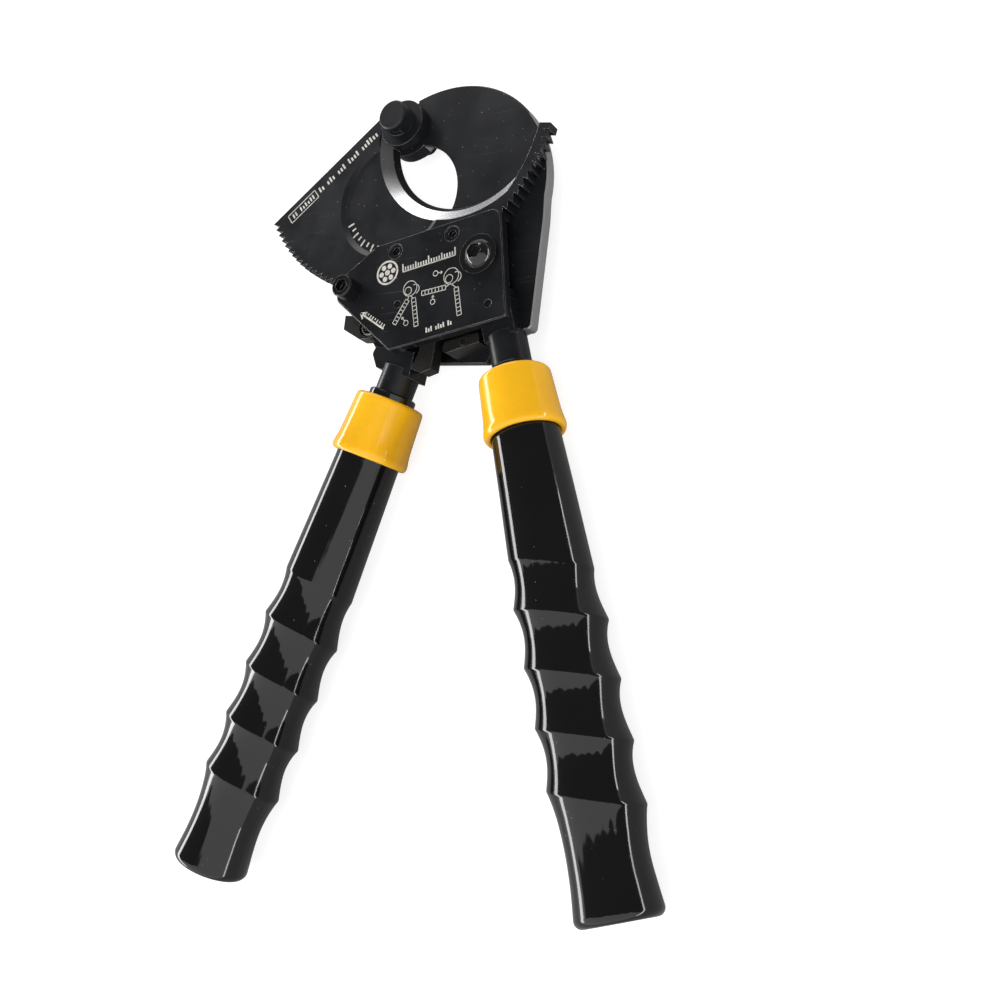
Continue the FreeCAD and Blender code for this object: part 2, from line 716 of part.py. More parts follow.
def pawl(name, x, y, corners):
    """Pawl between the covers, with a pocket for its spring round the pin."""
    thickness = FRONT_ROOM - S.side_clearance * 2
    back = PLANE + S.side_clearance
    body = fuse(plate(name, corners, thickness, z=back),
                disc(S.pawl_boss_radius, thickness, x, y, back))
    hole = disc(S.pawl_pin_radius + S.fit_clearance, thickness + SLACK * 2, x, y, back - SLACK)
    pocket = disc(S.pawl_boss_radius - 0.8, S.spring_pocket + SLACK, x, y,
                  back + thickness - S.spring_pocket)
    return cut(body, hole, pocket)


def pawl_spring(x, y):
    """Hairpin spring: one open turn of round wire lying in the pawl's pocket, round its pin."""
    turn = doc.addObject("Part::Torus", "SpringTurn")
    bind(turn, "Radius1", S.spring_radius)
    bind(turn, "Radius2", S.spring_wire)
    bind(turn, "Angle3", S.spring_turn)
    front = COVER_BACK - S.side_clearance
    return put(turn, x, y, front - S.spring_wire - 0.3)


def pawls():
    reach = S.rim_radius + S.pawl_tip_gap
    hold_tip = (reach * cosine(-77.0), reach * sine(-77.0))
    x, y = S.hold_x, S.hold_y
    finish(pawl("HoldingPawl", x, y, [
        (hold_tip[0], hold_tip[1]),
        (hold_tip[0] + 7.5, hold_tip[1] - 1.0),
        (x + 4.4, y + 3.0),
        (x + 2.4, y - 5.0),
        (x + 0.4, y - 9.0),
        (x, y - 14.4),
        (x - 0.6, y - 24.5),
        (x - 5.3, y - 25.9),
        (x - 10.5, y - 23.8),
        (x - 7.4, y - 17.2),
        (x - 6.6, y - 9.0),
        (x - 4.6, y - 3.0),
    ]), "holding_pawl")
    pin_foot = REAR_BACK
    finish(disc(S.pawl_pin_radius, COVER_BACK + 1.8 - pin_foot, x, y, pin_foot),
           "holding_pawl_pin")
    finish(pawl_spring(x, y), "holding_pawl_spring")
    drive_tip = (reach * cosine(-82.6), reach * sine(-82.6))
    x, y = S.drive_x, S.drive_y
    finish(pawl("DrivePawl", x, y, [
        (drive_tip[0], drive_tip[1]),
        (drive_tip[0] - 0.4, drive_tip[1] - 5.0),
        (x + 5.0, y - 1.8),
        (x, y - 5.4),
        (x - 4.2, y - 5.2),
        (x - 12.9, y - 0.3),
        (x - 12.9, y + 6.0),
        (x - 3.5, y + 4.6),
        (drive_tip[0] - 5.0, drive_tip[1] - 1.6),
    ]), "drive_pawl")
    finish(disc(S.pawl_pin_radius, COVER_BACK - 0.2 - FIXED_BACK - S.side_clearance, x, y,
                FIXED_BACK + S.side_clearance), "drive_pawl_pin")
    finish(pawl_spring(x, y), "drive_pawl_spring")


# ---- handles -----------------------------------------------------------------------------

def along_handle(item, x, y, side):
    """Stand a piece that was turned about Z on a handle: its +Z runs down the handle."""
    angle = S.handle_angle * side
    tilt = FreeCAD.Rotation(UP, angle.value).multiply(FreeCAD.Rotation(SIDE, 90.0))
    item.Placement = FreeCAD.Placement(FreeCAD.Vector(0, 0, 0), tilt)
    for letter, number in (("x", x), ("y", y), ("z", PLANE)):
        bind(item, "Placement.Base." + letter, number)
    return item


def spigot_radius():
    """Radius of the spigot: what the neck leaves inside the tube."""
    return S.neck_radius - S.tube_gap - S.tube_wall - S.fit_clearance


def stem(x, y, side, slide=0.0):
    """Round neck and spigot of a handle's steel end; slide lengthens the neck."""
    spigot = spigot_radius()
    foot = S.neck_below + slide
    return along_handle(lathe("Stem", [
        (term(0.0), -S.neck_above),
        (S.neck_radius, -S.neck_above),
        (S.neck_radius, foot),
        (spigot, foot),
        (spigot, foot + S.spigot_length),
        (term(0.0), foot + S.spigot_length),
    ]), x, y, side)


def fixed_tang():
    """Steel end of the fixed handle: a flat tang pinned beside the arm."""
    x, y = S.right_collar_x, S.right_collar_y
    low = S.neck_above - 2.0
    high = S.neck_above + 20.0
    tongue = plate("Tongue", [
        swung(x, y, 1, low, S.neck_radius - 1.0),
        swung(x, y, 1, high, S.neck_radius - 1.0),
        swung(x, y, 1, high, 1.0 - S.neck_radius),
        swung(x, y, 1, low, 1.0 - S.neck_radius),
    ], FRONT_ROOM, z=PLANE, rounds=[(2.5, [1, 2])])
    hole_x, hole_y = tang_pin()
    hole = disc(S.dowel_radius + S.fit_clearance, FRONT_ROOM + SLACK * 2, hole_x, hole_y,
                PLANE - SLACK)
    finish(cut(fuse(stem(x, y, 1, S.right_slide), tongue), hole), "fixed_handle_tang")


def handle_forging():
    """Cranked steel end of the moving handle, hung on its sleeve behind the drive pawl."""
    x, y = S.left_collar_x, S.left_collar_y
    back = FIXED_BACK + S.side_clearance
    eye = 8.6
    rear = S.fixed_thickness - S.side_clearance * 2
    top_right = swung(x, y, -1, S.neck_above + 13.0, 6.0)
    low_right = swung(x, y, -1, S.neck_above - 3.0, 9.0)
    low_left = swung(x, y, -1, S.neck_above - 3.0, -9.0)
    heel = swung(x, y, -1, S.neck_above + 2.0, -13.5)
    crank = plate("Crank", [
        (S.handle_x - eye, S.handle_y),
        heel,
        low_left,
        low_right,
        top_right,
        (S.handle_x + eye * 0.6, S.handle_y + eye * 0.8),
    ], rear, z=back, rounds=[(3.0, [1, 4])])
    boss = disc(eye, rear, S.handle_x, S.handle_y, back)
    thick = FULL_ROOM - S.side_clearance * 2
    block = plate("Block", [
        swung(x, y, -1, S.neck_above + 7.4, 7.0),
        swung(x, y, -1, S.neck_above + 5.4, -13.0),
        heel,
        low_left,
        low_right,
    ], thick, z=back, rounds=[(2.0, [2])])
    body = fuse(crank, boss, block, stem(x, y, -1))
    eye_hole = disc(S.handle_sleeve_radius + S.fit_clearance, thick + SLACK * 2, S.handle_x,
                    S.handle_y, back - SLACK)
    pin_hole = disc(S.pawl_pin_radius + S.fit_clearance, thick + SLACK * 2, S.drive_x, S.drive_y,
                    back - SLACK)
    pawl_room = disc(S.pawl_boss_radius + S.travel_clearance, FRONT_ROOM + SLACK, S.drive_x,
                     S.drive_y, PLANE)
    finish(cut(body, eye_hole, pin_hole, pawl_room), "handle_forging")


def ellipse(width, along, slant=0.0):
    """Section of a grip; a slant sets its left side nearer to the head and keeps its width."""
    item = doc.addObject("Part::Ellipse", "Section")
    bind(item, "MajorRadius", term(width) / cosine(slant) / 2.0)
    bind(item, "MinorRadius", term(width) * S.grip_flatness / 2.0)
    return put(item, 0.0, 0.0, along, -term(slant), FreeCAD.Vector(0, 1, 0))


def loft(*sections, straight=False):
    item = doc.addObject("Part::Loft", "Loft")
    item.Sections = list(sections)
    item.Solid = True
    item.Ruled = straight
    return item


def grip(name, x, y, side, slant, crease, first):
    """Moulded grip: a smooth sleeve, slanted finger ridges and a flared, rounded end."""
    start = S.grip_start_radius * 2.0
    ridges = [crease] + [first + S.ridge_pitch * step for step in range(4)]
    shoulder = S.ridge_width - 3.0
    valley = S.ridge_width - S.valley_depth * 2.0
    sleeve_end = crease * 0.6
    pieces = [loft(ellipse(start, S.collar_roof + 0.2),
                   ellipse(start, S.collar_length + 2.0), straight=True),
              loft(ellipse(start, S.collar_length + 2.0),
                   ellipse(start + 1.2, sleeve_end), straight=True),
              loft(ellipse(start + 1.2, sleeve_end),
                   ellipse(shoulder, ridges[0], slant), straight=True)]
    for upper, lower in zip(ridges[:-1], ridges[1:]):
        top = shoulder if upper is ridges[0] else S.ridge_width
        pieces.append(loft(ellipse(top, upper, slant),
                           ellipse(valley, upper + (lower - upper) * 0.42, slant),
                           ellipse(S.ridge_width, lower, slant)))
    last = ridges[-1]
    rest = S.grip_length - last
    bead = last + rest * 0.88
    pieces.append(loft(ellipse(S.ridge_width, last, slant),
                       ellipse(valley - 1.0, last + rest * 0.42, slant * 0.5),
                       ellipse(S.grip_end_width, bead)))
    pieces.append(loft(ellipse(S.grip_end_width, bead),
                       ellipse(S.grip_end_width - 1.0, last + rest * 0.95), straight=True))
    pieces.append(loft(ellipse(S.grip_end_width - 1.0, last + rest * 0.95),
                       ellipse(S.grip_end_width - 4.0, S.grip_length), straight=True))
    whole = fuse(*pieces)
    bore = disc(S.neck_radius + S.fit_clearance, S.grip_length - S.grip_end_wall, 0.0, 0.0, 0.0)
    finish(along_handle(cut(whole, bore), x, y, side), name)


def collar(name, x, y, side):
    """Flared collar that closes the upper end of a grip, with a rolled lower lip."""
    inner = S.grip_start_radius + S.collar_gap
    top = inner + S.collar_top_wall
    foot = inner + S.collar_foot_wall
    hole = S.neck_radius + S.collar_gap
    lip = 2.4
    profile = [(hole, term(0.0)),
               (top - 1.2, term(0.0)),
               (top - 0.3, term(0.4)),
               (top, term(1.3)),
               (foot - 0.5, S.collar_length - lip * 1.6),
               (foot, S.collar_length - lip),
               (foot, S.collar_length - lip * 0.5),
               (foot - 0.7, S.collar_length - 0.3),
               (foot - 1.5, S.collar_length),
               (inner, S.collar_length),
               (inner, S.collar_roof),
               (hole, S.collar_roof)]
    finish(along_handle(lathe("Collar", profile), x, y, side), name)


def ferrule(name, x, y, side):
    inner = S.neck_radius + S.fit_clearance
    outer = inner + S.ferrule_wall
    chamfer = 0.6
    profile = [(inner, -S.ferrule_height),
               (outer - chamfer, -S.ferrule_height),
               (outer, chamfer - S.ferrule_height),
               (outer, term(0.0)),
               (inner, term(0.0))]
    finish(along_handle(lathe("Ferrule", profile), x, y, side), name)


def tube(name, x, y, side):
    """Steel tube inside a grip; the spigot of the steel end is pressed into it."""
    inner = spigot_radius() + S.fit_clearance
    outer = inner + S.tube_wall
    top = S.neck_below + 0.1
    foot = S.grip_length - S.grip_end_wall - 0.5
    profile = [(inner, top), (outer, top), (outer, foot), (inner, foot)]
    finish(along_handle(lathe("Tube", profile), x, y, side), name)


moving_blade()
fixed_blade()
covers()
stop_bar()
pivot_fasteners()
clamp_fasteners()
handle_fasteners()
small_fasteners()
pawls()
fixed_tang()
handle_forging()
left_place = (S.left_collar_x, S.left_collar_y, -1)
right_place = swung(S.right_collar_x, S.right_collar_y, 1, -S.right_slide, 0.0) + (1,)
for word, place in (("left", left_place), ("right", right_place)):
    ferrule(word + "_ferrule", *place)
    collar(word + "_collar", *place)
    tube(word + "_tube", *place)
grip("left_grip", *left_place, S.left_ridge_slant, S.left_crease, S.left_ridge)
grip("right_grip", *right_place, S.right_ridge_slant, S.right_crease, S.right_ridge)

doc.recompute()
for item in doc.Objects:
    if "Invalid" in item.State or "Error" in item.State:
        raise RuntimeError("%s (%s) failed: %s" % (item.Name, item.Label, item.State))
os.makedirs("parts", exist_ok=True)
for item in sub_parts:
    shape = item.Shape
    if shape.isNull() or not shape.isValid() or not shape.Solids:
        raise RuntimeError("%s has no valid solid" % item.Label)
for item in sub_parts:
    item.Shape.exportStep(os.path.join("parts", item.Label + ".step"))
    box = item.Shape.BoundBox
    print("%-20s solids %d  volume %9.1f  x %7.1f %7.1f  y %7.1f %7.1f  z %5.1f %5.1f" % (
        item.Label, len(item.Shape.Solids), item.Shape.Volume, box.XMin, box.XMax, box.YMin,
        box.YMax, box.ZMin, box.ZMax))
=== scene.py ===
"""Looks, stage and camera for the ratcheting cable cutter, built round its fixed frame."""
import math

import bmesh
import bpy
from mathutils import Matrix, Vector


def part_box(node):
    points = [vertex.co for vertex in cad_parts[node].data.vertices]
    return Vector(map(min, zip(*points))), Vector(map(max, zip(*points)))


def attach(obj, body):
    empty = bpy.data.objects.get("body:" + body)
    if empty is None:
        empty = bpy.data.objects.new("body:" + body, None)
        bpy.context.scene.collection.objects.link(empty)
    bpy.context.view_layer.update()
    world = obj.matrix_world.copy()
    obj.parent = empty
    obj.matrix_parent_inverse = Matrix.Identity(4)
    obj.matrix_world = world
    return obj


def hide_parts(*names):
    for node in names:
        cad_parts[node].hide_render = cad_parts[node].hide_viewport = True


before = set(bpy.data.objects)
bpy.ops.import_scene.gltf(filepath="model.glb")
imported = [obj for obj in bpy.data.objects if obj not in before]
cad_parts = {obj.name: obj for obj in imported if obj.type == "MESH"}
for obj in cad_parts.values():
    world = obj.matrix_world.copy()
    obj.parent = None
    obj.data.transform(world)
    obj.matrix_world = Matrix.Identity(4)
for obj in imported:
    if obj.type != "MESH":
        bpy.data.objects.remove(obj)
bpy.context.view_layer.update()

bl_info = {
    "name": "Cable Cutter Finish",
    "version": (1, 0, 0),
    "blender": (4, 5, 0),
    "location": "3D View > Sidebar > Cutter",
    "description": "Finishes, moulded pieces, markings and stage of a two-handed ratcheting cable cutter",
    "category": "Object",
}

MM = 0.001
COVER_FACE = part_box("front_cover")[1][2]
BLADE_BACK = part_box("moving_blade")[0][2]
BLADE_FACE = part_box("moving_blade")[1][2]
WEB_FACE = BLADE_BACK + 4.8 * MM
HANDLE_LEVEL = BLADE_BACK - 0.1 * MM
HANDLE_TURN = math.radians(17.95)
GRIP_END = 204.6

# collar place in mm, side of the handle, slope of the finger ridges across it and through it
HANDLES = {
    "left": ((8.0, -124.2), -1, 0.105, -0.12),
    "right": ((66.02, -117.05), 1, 0.343, 0.02),
}
# from the top of the collar to the soft shoulder and to the first full ridge, in mm
RIDGE_STARTS = {"left": (81.3, 101.4), "right": (78.4, 97.6)}
FULL_RIDGES = 4
GRIP_START = 3.2
SLEEVE_END = 28.0
SLEEVE_HALF = 13.6
END_HALF = 16.1
GRIP_DEPTH = 0.96                    # depth of a grip as a share of its width
ROUND_OVER = 3.0                     # rounding of a grip's end
LEAN_IN = (48.0, 26.0)               # where the ridges begin to lean, and over what length
LEAN_OUT = (192.0, 20.0)             # where they stand straight again, and over what length
HANDLE_BODY = {"left": "handle", "right": "fixed_frame"}


# ---- what a user would change -----------------------------------------------------------

def colour_prop(name, description, default):
    return bpy.props.FloatVectorProperty(name=name, description=description, default=default,
                                         size=3, min=0.0, max=1.0, subtype="COLOR")


def length_prop(name, description, default):
    return bpy.props.FloatProperty(name=name, description=description, default=default,
                                   min=0.0, precision=5, unit="LENGTH")


class CutterColours(bpy.types.PropertyGroup):
    """Colours of the finishes."""

    oxide: colour_prop("Black oxide", "Satin black of the blades and covers", (0.0065, 0.007, 0.0085))
    bolt: colour_prop("Bolt black", "Glossy black of the bolts and ferrules", (0.006, 0.006, 0.007))
    ground: colour_prop("Ground steel", "Bare steel of the cutting bevel and worn edges",
                        (0.56, 0.56, 0.565))
    dark_steel: colour_prop("Dark steel", "Heat-treated steel of the pawls and the stop bar",
                            (0.03, 0.029, 0.027))
    black_vinyl: colour_prop("Black vinyl", "Dipped black of the grips", (0.0045, 0.0045, 0.005))
    yellow_vinyl: colour_prop("Yellow vinyl", "Warm yellow of the collars", (0.93, 0.47, 0.012))
    marking: colour_prop("Marking", "Etched light grey of the markings", (0.62, 0.6, 0.55))
    floor: colour_prop("Floor", "Pale studio floor", (0.42, 0.42, 0.42))


class CutterSizes(bpy.types.PropertyGroup):
    """Sizes of the pieces that are made here."""

    ridge_width: length_prop("Ridge width", "Width of a grip over its finger ridges", 33.8 * MM)
    valley_depth: length_prop("Valley depth", "How far a grip draws in between two ridges", 2.1 * MM)
    ridge_pitch: length_prop("Ridge pitch", "Distance between two ridges", 21.9 * MM)
    mark_line: length_prop("Marking line", "Line width of the fine markings", 0.3 * MM)
    mark_proud: length_prop("Marking height", "How far the markings stand proud", 0.03 * MM)
    edge_radius: length_prop("Edge radius", "Softening of the steel edges", 0.22 * MM)


class CutterStage(bpy.types.PropertyGroup):
    """Camera and lights."""

    lens: bpy.props.FloatProperty(name="Lens", description="Focal length of the camera",
                                  default=43.67, min=10.0, max=200.0, subtype="DISTANCE_CAMERA")
    side_light: bpy.props.FloatProperty(name="Side light", description="Power of the right strip light",
                                        default=9.0, min=0.0, subtype="POWER")
    fill_light: bpy.props.FloatProperty(name="Fill light", description="Power of the left strip light",
                                        default=22.0, min=0.0, subtype="POWER")
    back_light: bpy.props.FloatProperty(name="Back light", description="Power of the rear softbox",
                                        default=9.0, min=0.0, subtype="POWER")
    key_light: bpy.props.FloatProperty(name="Key light", description="Power of the overhead panel",
                                       default=7.0, min=0.0, subtype="POWER")


def colours():
    return bpy.context.scene.cutter_colours


def sizes():
    return bpy.context.scene.cutter_sizes


# ---- shader node groups -----------------------------------------------------------------

class NodeSheet:
    """Short way to add and join the nodes of one tree."""

    def __init__(self, tree):
        self.tree = tree

    def add(self, kind, **values):
        node = self.tree.nodes.new(kind)
        for name, value in values.items():
            setattr(node, name, value)
        return node

    def feed(self, socket, value):
        """Give a socket a number, a colour or another node's output."""
        if isinstance(value, bpy.types.NodeSocket):
            self.tree.links.new(value, socket)
        else:
            socket.default_value = value

    def math(self, operation, *values, clamp=False):
        node = self.add("ShaderNodeMath", operation=operation, use_clamp=clamp)
        for socket, value in zip(node.inputs, values):
            self.feed(socket, value)
        return node.outputs[0]

    def ramp(self, value, low, high, to_low=0.0, to_high=1.0):
        """Smooth step of a value from low to high."""
        node = self.add("ShaderNodeMapRange", interpolation_type="SMOOTHSTEP")
        for socket, number in zip(node.inputs, (value, low, high, to_low, to_high)):
            self.feed(socket, number)
        return node.outputs[0]

    def noise(self, vector, scale, detail=2.0, roughness=0.5):
        node = self.add("ShaderNodeTexNoise")
        self.feed(node.inputs["Vector"], vector)
        self.feed(node.inputs["Scale"], scale)
        node.inputs["Detail"].default_value = detail
        node.inputs["Roughness"].default_value = roughness
        return node.outputs["Fac"]

    def place(self):
        return self.add("ShaderNodeTexCoord").outputs["Object"]

    def mix(self, factor, first, second):
        node = self.add("ShaderNodeMix", data_type="RGBA")
        for name, value in (("Factor", factor), ("A", first), ("B", second)):
            socket = [s for s in node.inputs if s.name == name and s.enabled][0]
            self.feed(socket, value if isinstance(value, (float, bpy.types.NodeSocket))
                      else (*value, 1.0))
        return [s for s in node.outputs if s.enabled][0]

    def mix_number(self, factor, first, second):
        return self.math("ADD", first, self.math("MULTIPLY", factor,
                                                 self.math("SUBTRACT", second, first)))


def shader_group(name, inputs, outputs):
    """An empty group with its named sockets: (sheet, input sockets, output sockets)."""
    tree = bpy.data.node_groups.new(name, "ShaderNodeTree")
    for label, default in inputs:
        socket = tree.interface.new_socket(label, in_out="INPUT", socket_type="NodeSocketFloat")
        socket.default_value = default
    for label, kind in outputs:
        tree.interface.new_socket(label, in_out="OUTPUT", socket_type="NodeSocket" + kind)
    sheet = NodeSheet(tree)
    entry = sheet.add("NodeGroupInput")
    leave = sheet.add("NodeGroupOutput")
    return sheet, entry.outputs, leave.inputs


def build_worn_edge():
    """Rounded normal at sharp edges, and a mask of where handling has worn them bright."""
    sheet, given, result = shader_group("WornEdge", [("Radius", 0.0002), ("Gain", 4.0)],
                                        [("Mask", "Float"), ("Normal", "Vector")])
    bevel = sheet.add("ShaderNodeBevel", samples=6)
    sheet.feed(bevel.inputs["Radius"], given["Radius"])
    face = sheet.add("ShaderNodeNewGeometry")
    agree = sheet.add("ShaderNodeVectorMath", operation="DOT_PRODUCT")
    sheet.feed(agree.inputs[0], bevel.outputs[0])
    sheet.feed(agree.inputs[1], face.outputs["Normal"])
    bend = sheet.math("SUBTRACT", 1.0, agree.outputs["Value"])
    patches = sheet.ramp(sheet.noise(sheet.place(), 260.0, 3.0), 0.35, 0.62, 0.25, 1.0)
    mask = sheet.math("MULTIPLY", sheet.math("MULTIPLY", bend, given["Gain"], clamp=True), patches)
    sheet.feed(result["Mask"], mask)
    sheet.feed(result["Normal"], bevel.outputs[0])


def build_dust():
    """Sparse fine specks: dust on the vinyl, bright points in the oxide."""
    sheet, given, result = shader_group(
        "DustSpecks", [("Scale", 900.0), ("Size", 0.16), ("Density", 0.06)], [("Mask", "Float")])
    cells = sheet.add("ShaderNodeTexVoronoi")
    sheet.feed(cells.inputs["Vector"], sheet.place())
    sheet.feed(cells.inputs["Scale"], given["Scale"])
    split = sheet.add("ShaderNodeSeparateColor")
    sheet.feed(split.inputs[0], cells.outputs["Color"])
    size = sheet.math("MULTIPLY", given["Size"], split.outputs[1])
    near = sheet.math("LESS_THAN", cells.outputs["Distance"], size)
    chosen = sheet.math("LESS_THAN", split.outputs[0], given["Density"])
    sheet.feed(result["Mask"], sheet.math("MULTIPLY", near, chosen))


def build_grain():
    """Fine tooth of a blasted or moulded surface, and slow cloudy variation."""
    sheet, given, result = shader_group("SurfaceGrain", [("Scale", 4000.0), ("Cloud", 45.0)],
                                        [("Grain", "Float"), ("Cloudiness", "Float")])
    place = sheet.place()
    sheet.feed(result["Grain"], sheet.noise(place, given["Scale"], 2.0, 0.6))
    sheet.feed(result["Cloudiness"], sheet.noise(place, given["Cloud"], 4.0, 0.62))


def build_scuffs():
    """Thin straight rub marks in two directions, gathered in patches."""
    sheet, given, result = shader_group("HandlingScuffs", [("Amount", 0.5)], [("Mask", "Float")])
    place = sheet.place()
    lines = []
    for turn, stretch in ((0.6, (34.0, 1500.0, 34.0)), (2.1, (45.0, 1900.0, 45.0))):
        spin = sheet.add("ShaderNodeMapping")
        sheet.feed(spin.inputs["Vector"], place)
        spin.inputs["Rotation"].default_value = (0.0, 0.0, turn)
        spin.inputs["Scale"].default_value = stretch
        fine = sheet.noise(spin.outputs[0], 1.0, 1.0)
        lines.append(sheet.ramp(fine, 0.69, 0.76))
    both = sheet.math("MAXIMUM", *lines)
    patches = sheet.ramp(sheet.noise(place, 38.0, 1.0), 0.47, 0.66)
    sheet.feed(result["Mask"], sheet.math("MULTIPLY", sheet.math("MULTIPLY", both, patches),
                                          given["Amount"]))


def build_round_band():
    """Band between two radii and two heights round an upright axis, with its turning lines; past Painted
    Shade Y it fades to painted shade.
    """
    sheet, given, result = shader_group(
        "RoundBand", [("Centre X", 0.0), ("Centre Y", 0.0), ("Inner", 0.01), ("Outer", 0.02),
                      ("Low", 0.0), ("High", 1.0), ("Fade Y", 1.0)],
        [("Mask", "Float"), ("Lines", "Float")])
    split = sheet.add("ShaderNodeSeparateXYZ")
    sheet.feed(split.inputs[0], sheet.place())
    across = sheet.math("SUBTRACT", split.outputs[0], given["Centre X"])
    along = sheet.math("SUBTRACT", split.outputs[1], given["Centre Y"])
    radius = sheet.math("SQRT", sheet.math("ADD", sheet.math("MULTIPLY", across, across),
                                           sheet.math("MULTIPLY", along, along)))
    inside = sheet.math("MULTIPLY", sheet.math("GREATER_THAN", radius, given["Inner"]),
                        sheet.math("LESS_THAN", radius, given["Outer"]))
    level = sheet.math("MULTIPLY", sheet.math("GREATER_THAN", split.outputs[2], given["Low"]),
                       sheet.math("LESS_THAN", split.outputs[2], given["High"]))
    # Painted shade: past Painted Shade Y the band fades out, so the bevel turns dark towards the hub as a
    # painted dark reflection.
    past = sheet.math("SUBTRACT", split.outputs[1], given["Fade Y"])
    fade = sheet.ramp(past, -0.008, 0.008, 1.0, 0.12)
    sheet.feed(result["Mask"], sheet.math("MULTIPLY", sheet.math("MULTIPLY", inside, level), fade))
    ring = sheet.add("ShaderNodeTexNoise", noise_dimensions="1D")
    sheet.feed(ring.inputs["W"], radius)
    ring.inputs["Scale"].default_value = 5200.0
    ring.inputs["Detail"].default_value = 2.0
    sheet.feed(result["Lines"], ring.outputs["Fac"])


def build_groups():
    build_worn_edge()
    build_dust()
    build_grain()
    build_scuffs()
    build_round_band()


# ---- materials --------------------------------------------------------------------------

class Finish:
    """One material under way: its sheet, its shader and the values that feed it."""

    def __init__(self, name, specular=0.5, ior=1.5):
        self.material = bpy.data.materials.new(name)
        self.material.use_nodes = True
        tree = self.material.node_tree
        self.sheet = NodeSheet(tree)
        self.shader = tree.nodes["Principled BSDF"]
        self.shader.inputs["IOR"].default_value = ior
        self.shader.inputs["Specular IOR Level"].default_value = specular

    def group(self, name, **values):
        node = self.sheet.add("ShaderNodeGroup")
        node.node_tree = bpy.data.node_groups[name]
        for label, value in values.items():
            self.sheet.feed(node.inputs[label.replace("_", " ")], value)
        return node.outputs

    def bump(self, height, distance, strength, normal=None):
        node = self.sheet.add("ShaderNodeBump")
        node.inputs["Distance"].default_value = distance
        node.inputs["Strength"].default_value = strength
        self.sheet.feed(node.inputs["Height"], height)
        if normal is not None:
            self.sheet.feed(node.inputs["Normal"], normal)
        return node.outputs[0]

    def done(self, colour, roughness, metallic=0.0, normal=None):
        self.sheet.feed(self.shader.inputs["Base Color"],
                        colour if isinstance(colour, bpy.types.NodeSocket) else (*colour, 1.0))
        self.sheet.feed(self.shader.inputs["Roughness"], roughness)
        self.sheet.feed(self.shader.inputs["Metallic"], metallic)
        if normal is not None:
            self.sheet.feed(self.shader.inputs["Normal"], normal)
        return self.material


def coated_steel(name, colour, roughness, metal=0.0, wear=3.0, dust=0.05, scuffs=0.35,
                 grain=0.25, specular=0.33, bright=(), painted_highlight_x=None):
    """Steel under a dark skin: worn edges, rub marks, specks and grain.

    bright lists RoundBand settings that are ground bare; painted_highlight_x is the place along X
    beyond which upright faces get half ground steel, a painted highlight for the light from the right.
    """
    finish = Finish(name, specular)
    sheet = finish.sheet
    edge = finish.group("WornEdge", Radius=sizes().edge_radius, Gain=wear)
    texture = finish.group("SurfaceGrain")
    rub = finish.group("HandlingScuffs", Amount=scuffs)["Mask"]
    specks = finish.group("DustSpecks", Density=dust)["Mask"]
    bare = edge["Mask"]
    lines = texture["Grain"]
    for band in bright:
        ring = finish.group("RoundBand", **band)
        bare = sheet.math("MAXIMUM", bare, ring["Mask"])
        lines = sheet.mix_number(ring["Mask"], lines, ring["Lines"])
    # Painted highlight: upright faces past painted_highlight_x get half ground steel, standing in for the
    # light from the right.
    if painted_highlight_x is not None:
        place = sheet.add("ShaderNodeSeparateXYZ")
        sheet.feed(place.inputs[0], sheet.place())
        facing = sheet.add("ShaderNodeSeparateXYZ")
        sheet.feed(facing.inputs[0], sheet.add("ShaderNodeNewGeometry").outputs["Normal"])
        upright = sheet.math("LESS_THAN", sheet.math("ABSOLUTE", facing.outputs[2]), 0.85)
        beyond = sheet.math("GREATER_THAN", place.outputs[0], painted_highlight_x)
        wall = sheet.math("MULTIPLY", sheet.math("MULTIPLY", upright, beyond), 0.5)
        bare = sheet.math("MAXIMUM", bare, wall)
    # From here bare holds the worn and ground steel and also the painted highlight of the side walls.
    cloud = texture["Cloudiness"]
    skin = sheet.mix(sheet.ramp(cloud, 0.3, 0.7), [c * 0.8 for c in colour],
                     [c * 1.25 for c in colour])
    skin = sheet.mix(sheet.math("MULTIPLY", rub, 0.3), skin, (0.16, 0.16, 0.165))
    skin = sheet.mix(sheet.math("MULTIPLY", specks, 0.7), skin, (0.42, 0.42, 0.4))
    skin = sheet.mix(bare, skin, tuple(colours().ground))
    rough = sheet.ramp(cloud, 0.3, 0.7, roughness * 0.86, roughness * 1.16)
    rough = sheet.mix_number(bare, rough, sheet.ramp(lines, 0.3, 0.7, 0.22, 0.36))
    metallic = sheet.mix_number(bare, metal, 1.0)
    normal = finish.bump(lines, 0.000015, grain, edge["Normal"])
    return finish.done(skin, rough, metallic, normal)


